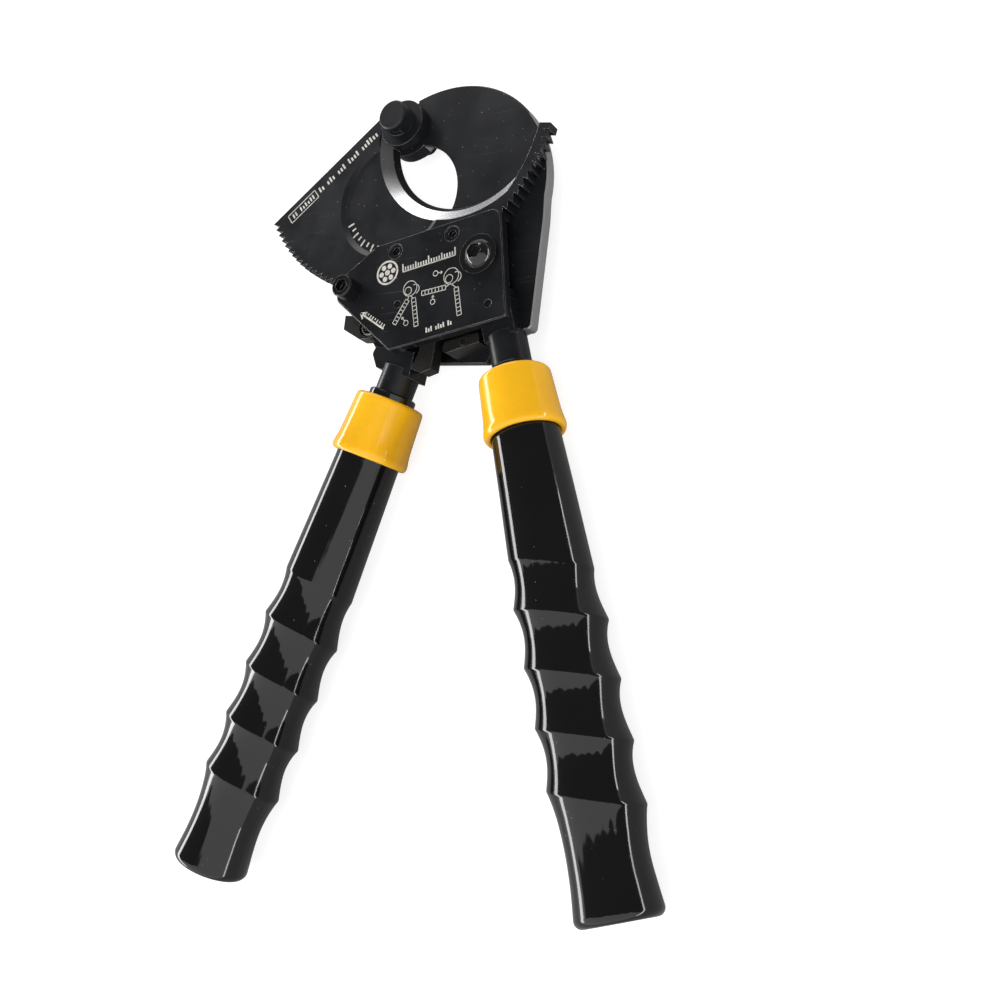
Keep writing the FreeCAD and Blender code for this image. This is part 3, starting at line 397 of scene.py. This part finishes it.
def moulded_vinyl(name, colour, roughness, dust, soft=0.0, dip=0.3):
    """Glossy dipped vinyl: slow ripples, a parting line at mid height, smudges and dust."""
    finish = Finish(name, specular=0.5, ior=1.5)
    sheet = finish.sheet
    texture = finish.group("SurfaceGrain", Scale=2600.0, Cloud=30.0)
    specks = finish.group("DustSpecks", Scale=620.0, Size=0.13, Density=dust)["Mask"]
    rub = finish.group("HandlingScuffs", Amount=0.5)["Mask"]
    cloud = texture["Cloudiness"]
    base = sheet.mix(sheet.ramp(cloud, 0.3, 0.7), [c * 0.92 for c in colour],
                     [min(c * 1.06, 1.0) for c in colour])
    base = sheet.mix(sheet.math("MULTIPLY", specks, 0.6), base, (0.36, 0.34, 0.3))
    rough = sheet.ramp(cloud, 0.35, 0.7, roughness * 0.8, roughness * 1.5)
    rough = sheet.math("ADD", rough, sheet.math("MULTIPLY", rub, 0.16))
    place = sheet.add("ShaderNodeSeparateXYZ")
    sheet.feed(place.inputs[0], sheet.place())
    off_line = sheet.math("ABSOLUTE", sheet.math("SUBTRACT", place.outputs[2], HANDLE_LEVEL))
    line = sheet.ramp(off_line, 0.0, 0.00022, 1.0, 0.0)
    ripple = sheet.noise(sheet.place(), 95.0, 1.0)
    height = sheet.math("ADD", sheet.math("MULTIPLY", ripple, dip), sheet.math("MULTIPLY", line, 0.2))
    height = sheet.math("ADD", height, sheet.math("MULTIPLY", texture["Grain"], 0.012))
    finish.shader.inputs["Subsurface Weight"].default_value = soft
    finish.shader.inputs["Subsurface Radius"].default_value = (0.004, 0.002, 0.0008)
    finish.shader.inputs["Subsurface Scale"].default_value = 1.0
    return finish.done(base, rough, 0.0, finish.bump(height, 0.0006, 0.35))


def etched_marking(name, colour):
    finish = Finish(name)
    sheet = finish.sheet
    texture = finish.group("SurfaceGrain", Scale=3200.0, Cloud=300.0)
    shade = sheet.ramp(texture["Cloudiness"], 0.32, 0.6)
    tint = sheet.mix(shade, [c * 0.7 for c in colour], colour)
    return finish.done(tint, sheet.ramp(texture["Grain"], 0.3, 0.7, 0.5, 0.7), 0.0,
                       finish.bump(texture["Grain"], 0.00001, 0.5))


def wound_steel(name, colour, roughness):
    """Drawn wire, tube and bronze: bare metal with light drawing marks."""
    finish = Finish(name)
    sheet = finish.sheet
    texture = finish.group("SurfaceGrain", Scale=1800.0, Cloud=120.0)
    edge = finish.group("WornEdge", Radius=0.0001, Gain=2.0)
    tint = sheet.mix(sheet.ramp(texture["Cloudiness"], 0.3, 0.7), [c * 0.8 for c in colour], colour)
    rough = sheet.ramp(texture["Grain"], 0.3, 0.7, roughness * 0.8, roughness * 1.2)
    return finish.done(tint, rough, 1.0, finish.bump(texture["Grain"], 0.00001, 0.3,
                                                      edge["Normal"]))


def dress(node, material):
    """Give a CAD node's own slots a material."""
    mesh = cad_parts[node].data
    mesh.materials.clear()
    mesh.materials.append(material)


# ---- mesh helpers -----------------------------------------------------------------------

def new_piece(name, mesh_maker, material, body, smooth=None):
    """Make a mesh piece, give it its material, and let it ride on its body."""
    mesh = bpy.data.meshes.new(name)
    mesh_data = bmesh.new()
    mesh_maker(mesh_data)
    bmesh.ops.recalc_face_normals(mesh_data, faces=mesh_data.faces)
    mesh_data.to_mesh(mesh)
    mesh_data.free()
    piece = bpy.data.objects.new(name, mesh)
    bpy.context.scene.collection.objects.link(piece)
    mesh.materials.append(material)
    if smooth is not None:
        mesh.shade_smooth()
        mesh.set_sharp_from_angle(angle=math.radians(smooth))
    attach(piece, body)
    return piece


def handle_spot(side_name, across, along, high):
    """A point on a handle in metres, from millimetres across, down and above its axis."""
    (x, y), side, _, _ = HANDLES[side_name]
    turn = HANDLE_TURN * side
    return Vector(((x + across * math.cos(turn) + along * math.sin(turn)) * MM,
                   (y + across * math.sin(turn) - along * math.cos(turn)) * MM,
                   HANDLE_LEVEL + high * MM))


def skin_rings(mesh, rings, looped=False):
    """Join rings of points with quads; the last meets the first, or else both ends are filled."""
    loops = [[mesh.verts.new(spot) for spot in ring] for ring in rings]
    if looped:
        loops.append(loops[0])
    count = len(loops[0])
    for upper, lower in zip(loops[:-1], loops[1:]):
        for index in range(count):
            after = (index + 1) % count
            mesh.faces.new((upper[index], upper[after], lower[after], lower[index]))
    if not looped:
        mesh.faces.new(loops[0])
        mesh.faces.new(reversed(loops[-1]))


def blur(values, reach):
    """Running average with a soft window."""
    weights = [math.exp(-(step / reach) ** 2) for step in range(-2 * reach, 2 * reach + 1)]
    total = sum(weights)
    last = len(values) - 1
    result = []
    for index in range(len(values)):
        result.append(sum(weight * values[min(max(index + step - 2 * reach, 0), last)]
                          for step, weight in enumerate(weights)) / total)
    return result


# ---- grips and collars ------------------------------------------------------------------

def grip_outline(side_name):
    """Half width of a grip at steps down its length, in millimetres."""
    size = sizes()
    ridge = size.ridge_width / MM / 2.0
    depth = size.valley_depth / MM
    crease, first = RIDGE_STARTS[side_name]
    ridges = [crease] + [first + size.ridge_pitch / MM * step for step in range(FULL_RIDGES)]
    shoulder = ridge - 1.5
    length = GRIP_END - GRIP_START
    count = int(length / 0.4)
    outline = []
    for index in range(count + 1):
        along = GRIP_START + index * length / count
        if along <= SLEEVE_END:
            half = SLEEVE_HALF
        elif along <= crease:
            share = (along - SLEEVE_END) / (crease - SLEEVE_END)
            half = SLEEVE_HALF + (shoulder - SLEEVE_HALF) * share
        elif along < ridges[-1]:
            number = sum(along >= ridge_place for ridge_place in ridges[1:])
            share = (along - ridges[number]) / (ridges[number + 1] - ridges[number])
            top = shoulder if number == 0 else ridge
            sink = depth * (0.7 if number == 0 else 1.0)
            half = top + (ridge - top) * share - sink * math.sin(math.pi * share ** 0.86)
        else:
            share = (along - ridges[-1]) / (GRIP_END - ridges[-1])
            half = ridge + (END_HALF - ridge) * share - depth * 1.05 * math.sin(math.pi * share ** 0.8)
        outline.append((along, half))
    halves = blur([half for _, half in outline], 1)
    return [(along, half) for (along, _), half in zip(outline, halves)]


def mould_grip(side_name):
    """Rings for one grip: the ridges lean, the sleeve and the end do not; the end is rounded."""
    _, _, lean, nod = HANDLES[side_name]
    around = 112
    rings = []
    stations = [(along, half) for along, half in grip_outline(side_name)
                if along < GRIP_END - ROUND_OVER]
    last_half = stations[-1][1]
    for turn in range(1, 13):
        angle = math.pi / 2.0 * turn / 12.0
        stations.append((GRIP_END - ROUND_OVER + ROUND_OVER * math.sin(angle),
                         last_half - ROUND_OVER * (1.0 - math.cos(angle))))
    last_half = stations[-1][1]
    stations += [(GRIP_END, last_half * share) for share in (0.9, 0.7)]
    stations += [(GRIP_END - 0.5, last_half * share) for share in (0.66, 0.3, 0.12)]
    for along, half in stations:
        fade = (min(max((along - LEAN_IN[0]) / LEAN_IN[1], 0.0), 1.0)
                * min(max((LEAN_OUT[0] - along) / LEAN_OUT[1], 0.0), 1.0))
        ring = []
        for index in range(around):
            angle = 2.0 * math.pi * index / around
            across = half * math.cos(angle)
            high = half * GRIP_DEPTH * math.sin(angle)
            ring.append(handle_spot(side_name, across, along + fade * (lean * across + nod * high),
                                    high))
        rings.append(ring)
    return rings


COLLAR_PROFILE = [
    (8.25, 0.5), (8.4, 0.15), (10.5, 0.0), (12.6, 0.0), (13.55, 0.28), (14.15, 0.85), (14.4, 1.7),
    (14.5, 3.0), (14.72, 7.0), (15.0, 12.0), (15.25, 16.0), (15.5, 19.0), (15.85, 21.4),
    (16.15, 22.9), (16.2, 24.0), (16.0, 25.0), (15.5, 25.7), (14.8, 26.0), (14.1, 25.95),
    (13.75, 25.6), (13.72, 24.0), (13.7, 12.0), (13.7, 3.2), (8.3, 3.1),
]


def smooth_line(points, pieces):
    """Points along a smooth curve through the given ones."""
    padded = [points[0]] + list(points) + [points[-1]]
    result = []
    for a, b, c, d in zip(padded, padded[1:], padded[2:], padded[3:]):
        for step in range(pieces):
            t = step / pieces
            result.append(tuple(
                0.5 * (2 * q + (r - p) * t + (2 * p - 5 * q + 4 * r - s) * t * t
                       + (3 * q - p - 3 * r + s) * t ** 3)
                for p, q, r, s in zip(a, b, c, d)))
    result.append(points[-1])
    return result


def turned_rings(side_name, profile, around):
    rings = []
    for radius, along in profile:
        rings.append([handle_spot(side_name, radius * math.cos(2.0 * math.pi * step / around), along,
                                  radius * math.sin(2.0 * math.pi * step / around))
                      for step in range(around)])
    return rings


# ---- markings ---------------------------------------------------------------------------

class Marker:
    """Draws flat markings as thin closed prisms on a plane, in millimetres."""

    def __init__(self, mesh, level):
        self.mesh = mesh
        self.low = level - 0.02 * MM
        self.high = level + sizes().mark_proud

    def prism(self, outline):
        low = [self.mesh.verts.new((x * MM, y * MM, self.low)) for x, y in outline]
        high = [self.mesh.verts.new((x * MM, y * MM, self.high)) for x, y in outline]
        self.mesh.faces.new(high)
        self.mesh.faces.new(reversed(low))
        count = len(outline)
        for index in range(count):
            after = (index + 1) % count
            self.mesh.faces.new((low[index], low[after], high[after], high[index]))

    def stroke(self, start, end, width):
        """A straight line of the given width."""
        along = Vector(end) - Vector(start)
        side = Vector((-along.y, along.x)).normalized() * width / 2.0
        a, b = Vector(start), Vector(end)
        self.prism([a + side, a - side, b - side, b + side])

    def arc(self, centre, radius, width, first=0.0, last=360.0, pieces=40):
        """Part of a ring, or a whole one, in straight pieces."""
        for step in range(pieces):
            corners = []
            for turn, reach in ((step, -1), (step + 1, -1), (step + 1, 1), (step, 1)):
                angle = math.radians(first + (last - first) * turn / pieces)
                far = radius + reach * width / 2.0
                corners.append((centre[0] + far * math.cos(angle), centre[1] + far * math.sin(angle)))
            self.prism(corners)

    def dot(self, centre, radius):
        self.prism([(centre[0] + radius * math.cos(2.0 * math.pi * step / 20),
                     centre[1] + radius * math.sin(2.0 * math.pi * step / 20)) for step in range(20)])

    def ticks(self, start, end, heights, width):
        """Upright bars from start to end; a height of 0 leaves a gap."""
        a, b = Vector(start), Vector(end)
        up = Vector((-(b - a).y, (b - a).x)).normalized()
        for index, height in enumerate(heights):
            if height:
                foot = a + (b - a) * (index + 0.5) / len(heights)
                self.stroke(foot, foot + up * height, width)

    def arrow(self, start, end, width, head):
        """A line with a two-barbed head at its end."""
        self.stroke(start, end, width)
        back = (Vector(start) - Vector(end)).normalized()
        for turn in (-0.55, 0.55):
            barb = Vector((back.x * math.cos(turn) - back.y * math.sin(turn),
                           back.x * math.sin(turn) + back.y * math.cos(turn)))
            self.stroke(end, Vector(end) + barb * head, width)

    def ladder(self, start, end, width, rungs, line):
        """Outline of a ribbed grip, as a long box with cross lines."""
        a, b = Vector(start), Vector(end)
        side = Vector((-(b - a).y, (b - a).x)).normalized() * width / 2.0
        self.stroke(a + side, b + side, line)
        self.stroke(a - side, b - side, line)
        for index in range(rungs + 1):
            spot = a + (b - a) * index / rungs
            self.stroke(spot + side, spot - side, line)


def draw_tool_icon(marker, head, size, left, right, line):
    """Small line drawing of the tool: jaws as two rings, and two ribbed handles."""
    marker.arc(head, size, line)
    marker.arc((head[0] - size * 0.25, head[1] - size * 0.3), size * 0.5, line, pieces=24)
    marker.arc((head[0] + size * 0.75, head[1] - size * 0.15), size * 0.62, line, -70.0, 120.0, 16)
    marker.ladder(left[0], left[1], 2.0, 7, line)
    marker.ladder(right[0], right[1], 2.0, 7, line)
    for grip in (left, right):
        marker.stroke((head[0], head[1] - size * 0.9), grip[0], line)


def draw_cover_marks(mesh):
    marker = Marker(mesh, COVER_FACE)
    line = sizes().mark_line / MM
    cable = (6.0, -71.5)
    marker.arc(cable, 5.0, 0.85)
    marker.dot(cable, 1.25)
    for step in range(6):
        angle = math.radians(60.0 * step + 14.0)
        marker.dot((cable[0] + 2.95 * math.cos(angle), cable[1] + 2.95 * math.sin(angle)), 1.15)
    scale = [3.6, 2.0, 2.0, 2.0, 2.0, 2.9, 2.0, 2.0, 2.0, 2.0] * 2 + [3.6]
    marker.ticks((13.4, -72.2), (39.6, -67.6), scale, 0.6)
    marker.stroke((14.0, -72.1), (39.0, -67.7), 0.5)
    draw_tool_icon(marker, (18.6, -79.8), 3.3, ((18.0, -84.8), (12.7, -94.6)),
                   ((20.9, -84.2), (23.9, -96.5)), line)
    draw_tool_icon(marker, (38.2, -76.6), 3.5, ((36.1, -81.2), (24.7, -82.6)),
                   ((41.2, -81.8), (44.2, -93.7)), line)
    marker.arc((18.6, -94.7), 1.1, line, pieces=20)
    marker.arrow((17.9, -93.8), (16.1, -92.0), line, 1.1)
    marker.arc((30.6, -86.8), 1.1, line, pieces=20)
    marker.arrow((30.5, -85.6), (30.4, -83.9), line, 1.1)
    marker.arc((30.4, -74.6), 1.1, line, pieces=20)
    marker.arrow((31.6, -74.5), (33.8, -74.4), line, 1.1)
    marker.ticks((28.8, -99.9), (41.3, -97.3), [2.2, 1.5, 2.2, 0, 1.5, 2.2, 1.5, 2.2, 0, 2.2, 1.5],
                 0.7)
    marker.arrow((7.6, -96.3), (-5.2, -88.3), 0.75, 2.9)
    marker.ticks((8.6, -94.7), (-2.6, -87.6), [1.6, 1.6, 0.9, 1.6, 0.9, 1.6, 1.6, 0.9, 1.6], 0.55)


def draw_blade_marks(mesh):
    """Row of plain bars along the blade's back."""
    marker = Marker(mesh, BLADE_FACE)
    turn = math.radians(38.6)
    along = Vector((math.cos(turn), math.sin(turn)))
    up = Vector((-along.y, along.x))
    corner = Vector((-54.6, -39.0))
    length, height = 17.2, 4.6
    box = [corner, corner + along * length, corner + along * length + up * height, corner + up * height]
    for index in range(4):
        marker.stroke(box[index], box[(index + 1) % 4], 0.42)
    marker.ticks(corner + along * 1.6 + up * 1.1, corner + along * (length - 1.4) + up * 1.1,
                 [2.4, 2.4, 0, 2.4, 1.6, 2.4, 1.6, 2.4, 2.4], 0.75)
    start = corner + along * (length + 1.4) + up * 0.9
    bars = [2.9, 2.0, 0, 2.0, 2.9, 2.0, 0, 2.0, 2.0, 2.9, 0, 2.9, 2.0, 2.0, 2.9, 0,
            2.0, 2.0, 2.9, 2.9, 2.0, 2.0]
    marker.ticks(start, start + along * 37.0, bars, 0.85)


def draw_web_marks(mesh):
    """Scale of plain bars that follows the edge of the hollow in the blade."""
    marker = Marker(mesh, WEB_FACE)
    centre = Vector((0.4, -34.0))
    for index in range(8):
        angle = math.radians(205.0 + index * 7.2)
        outward = Vector((math.cos(angle), math.sin(angle)))
        marker.stroke(centre + outward * 22.3, centre + outward * (25.6 if index % 2 == 0 else 24.4),
                      0.8)


# ---- operators --------------------------------------------------------------------------

class CUTTER_OT_finish_steel(bpy.types.Operator):
    """Give every steel node of the frame its finish"""

    bl_idname = "cutter.finish_steel"
    bl_label = "Finish the steel"

    def execute(self, context):
        build_groups()
        tint = colours()
        oxide = tuple(tint.oxide)
        bolt = tuple(tint.bolt)
        dark = tuple(tint.dark_steel)
        # Above Y = -27 mm the ground bevel fades to painted shade, standing in for its dark reflection
        # towards the hub.
        bevel = dict(Centre_X=32.0 * MM, Centre_Y=-5.9 * MM, Inner=37.9 * MM, Outer=43.12 * MM,
                     Low=18.75 * MM, High=21.29 * MM, Fade_Y=-0.027)
        blade = coated_steel("blade_oxide", oxide, 0.36, wear=2.5, dust=0.1, bright=(bevel,))
        seat = dict(Centre_X=4.3 * MM, Centre_Y=-33.0 * MM, Inner=24.3 * MM, Outer=28.5 * MM,
                    Low=10.5 * MM, High=15.1 * MM)
        # Its upright faces past 60 mm on the right get the painted highlight for the light from the
        # right.
        counter = coated_steel("counter_blade_oxide", oxide, 0.38, wear=2.5, dust=0.14,
                               bright=(seat,), painted_highlight_x=60.0 * MM)
        cover = coated_steel("cover_oxide", oxide, 0.31, wear=7.0, dust=0.1, scuffs=0.7)
        frame_steel = coated_steel("handle_oxide", oxide, 0.3, wear=2.5, scuffs=0.5)
        knob = coated_steel("knob_oxide", oxide, 0.42, wear=2.0, dust=0.02)
        gloss = coated_steel("bolt_gloss", bolt, 0.1, wear=1.0, dust=0.02, scuffs=0.15,
                             grain=0.06, specular=0.6)
        screw = coated_steel("screw_black", bolt, 0.22, wear=2.5, dust=0.02, scuffs=0.3)
        nuts = coated_steel("nut_grey", (0.05, 0.05, 0.052), 0.36, metal=0.6, wear=3.0)
        pawl = coated_steel("pawl_steel", dark, 0.36, metal=0.6, wear=3.0)
        wire = wound_steel("spring_wire", (0.42, 0.41, 0.39), 0.3)
        tube = wound_steel("tube_zinc", (0.52, 0.52, 0.53), 0.34)
        bronze = wound_steel("bushing_bronze", (0.62, 0.42, 0.2), 0.32)
        plan = {
            blade: ("moving_blade",),
            counter: ("fixed_blade",),
            cover: ("front_cover", "rear_cover"),
            frame_steel: ("handle_forging", "fixed_handle_tang"),
            knob: ("pivot_bolt", "pivot_washer"),
            gloss: ("clamp_bolt", "left_ferrule", "right_ferrule"),
            screw: ("handle_bolt", "guide_screws", "cover_dowels", "holding_pawl_pin",
                    "drive_pawl_pin", "stop_bar_pin"),
            nuts: ("pivot_nut", "clamp_nut", "handle_nut", "clamp_spacer", "handle_sleeve"),
            pawl: ("holding_pawl", "drive_pawl", "stop_bar"),
            wire: ("holding_pawl_spring", "drive_pawl_spring"),
            tube: ("left_tube", "right_tube"),
            bronze: ("pivot_bushing",),
        }
        for material, nodes in plan.items():
            for node in nodes:
                dress(node, material)
        return {"FINISHED"}


class CUTTER_OT_mould_grips(bpy.types.Operator):
    """Mould the two ribbed black grips"""

    bl_idname = "cutter.mould_grips"
    bl_label = "Mould the grips"

    def execute(self, context):
        vinyl = moulded_vinyl("grip_black_vinyl", tuple(colours().black_vinyl), 0.07, 0.12)
        for side_name, body in HANDLE_BODY.items():
            rings = mould_grip(side_name)
            grip = new_piece(side_name + "_grip_moulding", lambda mesh: skin_rings(mesh, rings),
                             vinyl, body, smooth=40.0)
            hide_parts(side_name + "_grip")
        return {"FINISHED"}


class CUTTER_OT_mould_collars(bpy.types.Operator):
    """Mould the two yellow collars with their rolled lip"""

    bl_idname = "cutter.mould_collars"
    bl_label = "Mould the collars"

    def execute(self, context):
        vinyl = moulded_vinyl("collar_yellow_vinyl", tuple(colours().yellow_vinyl), 0.13, 0.01,
                              soft=0.12, dip=0.15)
        profile = smooth_line(COLLAR_PROFILE, 4)
        for side_name, body in HANDLE_BODY.items():
            rings = turned_rings(side_name, profile, 128)
            collar = new_piece(side_name + "_collar_moulding",
                               lambda mesh: skin_rings(mesh, rings, looped=True), vinyl, body,
                               smooth=60.0)
            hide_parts(side_name + "_collar")
        return {"FINISHED"}


class CUTTER_OT_etch_markings(bpy.types.Operator):
    """Etch the plain scale, arrows and tool drawings on the cover and the blade"""

    bl_idname = "cutter.etch_markings"
    bl_label = "Etch the markings"

    def execute(self, context):
        marking = etched_marking("etched_grey", tuple(colours().marking))
        new_piece("cover_markings", draw_cover_marks, marking, "fixed_frame")
        new_piece("blade_markings", draw_blade_marks, marking, "blade")
        new_piece("web_markings", draw_web_marks, marking, "blade")
        return {"FINISHED"}


def build_sky(scene):
    """Dim studio room: a grey wall on the handles' side, dark above, pale near the floor."""
    world = bpy.data.worlds.new("studio")
    world.use_nodes = True
    scene.world = world
    sheet = NodeSheet(world.node_tree)
    outward = sheet.add("ShaderNodeTexCoord").outputs["Generated"]
    split = sheet.add("ShaderNodeSeparateXYZ")
    sheet.feed(split.inputs[0], outward)
    ragged = sheet.math("MULTIPLY", sheet.math("SUBTRACT", sheet.noise(outward, 1.8, 1.0), 0.5), 0.9)
    edge = sheet.math("ADD", split.outputs[1], ragged)
    wall = sheet.ramp(edge, -0.11, -0.08, 1.25, 0.12)
    low = sheet.ramp(split.outputs[2], 0.02, 0.14, 0.8, 0.0)
    background = world.node_tree.nodes["Background"]
    background.inputs["Color"].default_value = (1.0, 1.0, 1.0, 1.0)
    sheet.feed(background.inputs["Strength"], sheet.math("MAXIMUM", wall, low))


class CUTTER_OT_build_stage(bpy.types.Operator):
    """Lay the pale floor, hang the softboxes and place the camera"""

    bl_idname = "cutter.build_stage"
    bl_label = "Build the stage"

    def execute(self, context):
        scene = context.scene
        stage = scene.cutter_stage
        floor_mesh = bpy.data.meshes.new("floor")
        reach = 6.0
        floor_mesh.from_pydata([(-reach, -reach, 0), (reach, -reach, 0), (reach, reach, 0),
                                (-reach, reach, 0)], [], [(0, 1, 2, 3)])
        floor = bpy.data.objects.new("floor", floor_mesh)
        scene.collection.objects.link(floor)
        paper = Finish("floor_paper")
        mottle = paper.sheet.ramp(paper.sheet.noise(paper.sheet.place(), 3.0), 0.3, 0.7)
        tint = tuple(colours().floor)
        floor_mesh.materials.append(paper.done(
            paper.sheet.mix(mottle, [c * 0.98 for c in tint], tint), 0.85))
        paper.shader.inputs["Specular IOR Level"].default_value = 0.1
        paper.shader.inputs["Emission Color"].default_value = (1.0, 1.0, 1.0, 1.0)
        seen = paper.sheet.add("ShaderNodeLightPath").outputs["Is Camera Ray"]
        paper.sheet.feed(paper.shader.inputs["Emission Strength"],
                         paper.sheet.math("MULTIPLY", seen, 0.8))
        boxes = (
            ("right_strip", (1.5, -0.2, 0.12), (2.6, 0.1), stage.side_light),
            ("left_strip", (-1.5, -0.1, 0.34), (2.8, 0.3), stage.fill_light),
            ("rear_softbox", (-0.45, 1.2, 0.62), (1.3, 0.4), stage.back_light),
            ("overhead_panel", (0.15, -0.35, 1.4), (1.2, 0.9), stage.key_light),
        )
        aim = Vector((0.03, -0.15, 0.02))
        for name, place, (width, height), power in boxes:
            light = bpy.data.lights.new(name, "AREA")
            light.shape = "RECTANGLE"
            light.size, light.size_y = width, height
            light.energy = power
            lamp = bpy.data.objects.new(name, light)
            lamp.location = place
            lamp.rotation_euler = (aim - Vector(place)).to_track_quat("-Z", "Y").to_euler()
            lamp.visible_glossy = name != "overhead_panel"
            scene.collection.objects.link(lamp)
        build_sky(scene)
        camera_data = bpy.data.cameras.new("camera")
        camera_data.lens = stage.lens
        camera_data.sensor_width = 36.0
        camera_data.clip_start = 0.01
        camera = bpy.data.objects.new("camera", camera_data)
        camera.location = (0.301895, -0.257197, 0.405007)
        camera.rotation_euler = [math.radians(angle) for angle in (14.6687, 30.0046, 6.6874)]
        scene.collection.objects.link(camera)
        scene.camera = camera
        scene.view_settings.view_transform = "Standard"
        return {"FINISHED"}


class CUTTER_PT_panel(bpy.types.Panel):
    """Shows the settings, and a button for each step that builds the pieces"""

    bl_label = "Cable Cutter"
    bl_idname = "CUTTER_PT_panel"
    bl_space_type = "VIEW_3D"
    bl_region_type = "UI"
    bl_category = "Cutter"

    def draw(self, context):
        scene = context.scene
        for settings in (scene.cutter_colours, scene.cutter_sizes, scene.cutter_stage):
            box = self.layout.box()
            for name in settings.__annotations__:
                box.prop(settings, name)
        for operator in OPERATORS:
            self.layout.operator(operator.bl_idname)


GROUPS = (CutterColours, CutterSizes, CutterStage)
OPERATORS = (CUTTER_OT_finish_steel, CUTTER_OT_mould_grips, CUTTER_OT_mould_collars,
             CUTTER_OT_etch_markings, CUTTER_OT_build_stage)


def register():
    for item in GROUPS + OPERATORS + (CUTTER_PT_panel,):
        bpy.utils.register_class(item)
    bpy.types.Scene.cutter_colours = bpy.props.PointerProperty(type=CutterColours)
    bpy.types.Scene.cutter_sizes = bpy.props.PointerProperty(type=CutterSizes)
    bpy.types.Scene.cutter_stage = bpy.props.PointerProperty(type=CutterStage)


def unregister():
    del bpy.types.Scene.cutter_stage
    del bpy.types.Scene.cutter_sizes
    del bpy.types.Scene.cutter_colours
    for item in reversed(GROUPS + OPERATORS + (CUTTER_PT_panel,)):
        bpy.utils.unregister_class(item)


def main():
    register()
    bpy.ops.cutter.finish_steel()
    bpy.ops.cutter.mould_grips()
    bpy.ops.cutter.mould_collars()
    bpy.ops.cutter.etch_markings()
    bpy.ops.cutter.build_stage()


if __name__ == "__main__":
    main()
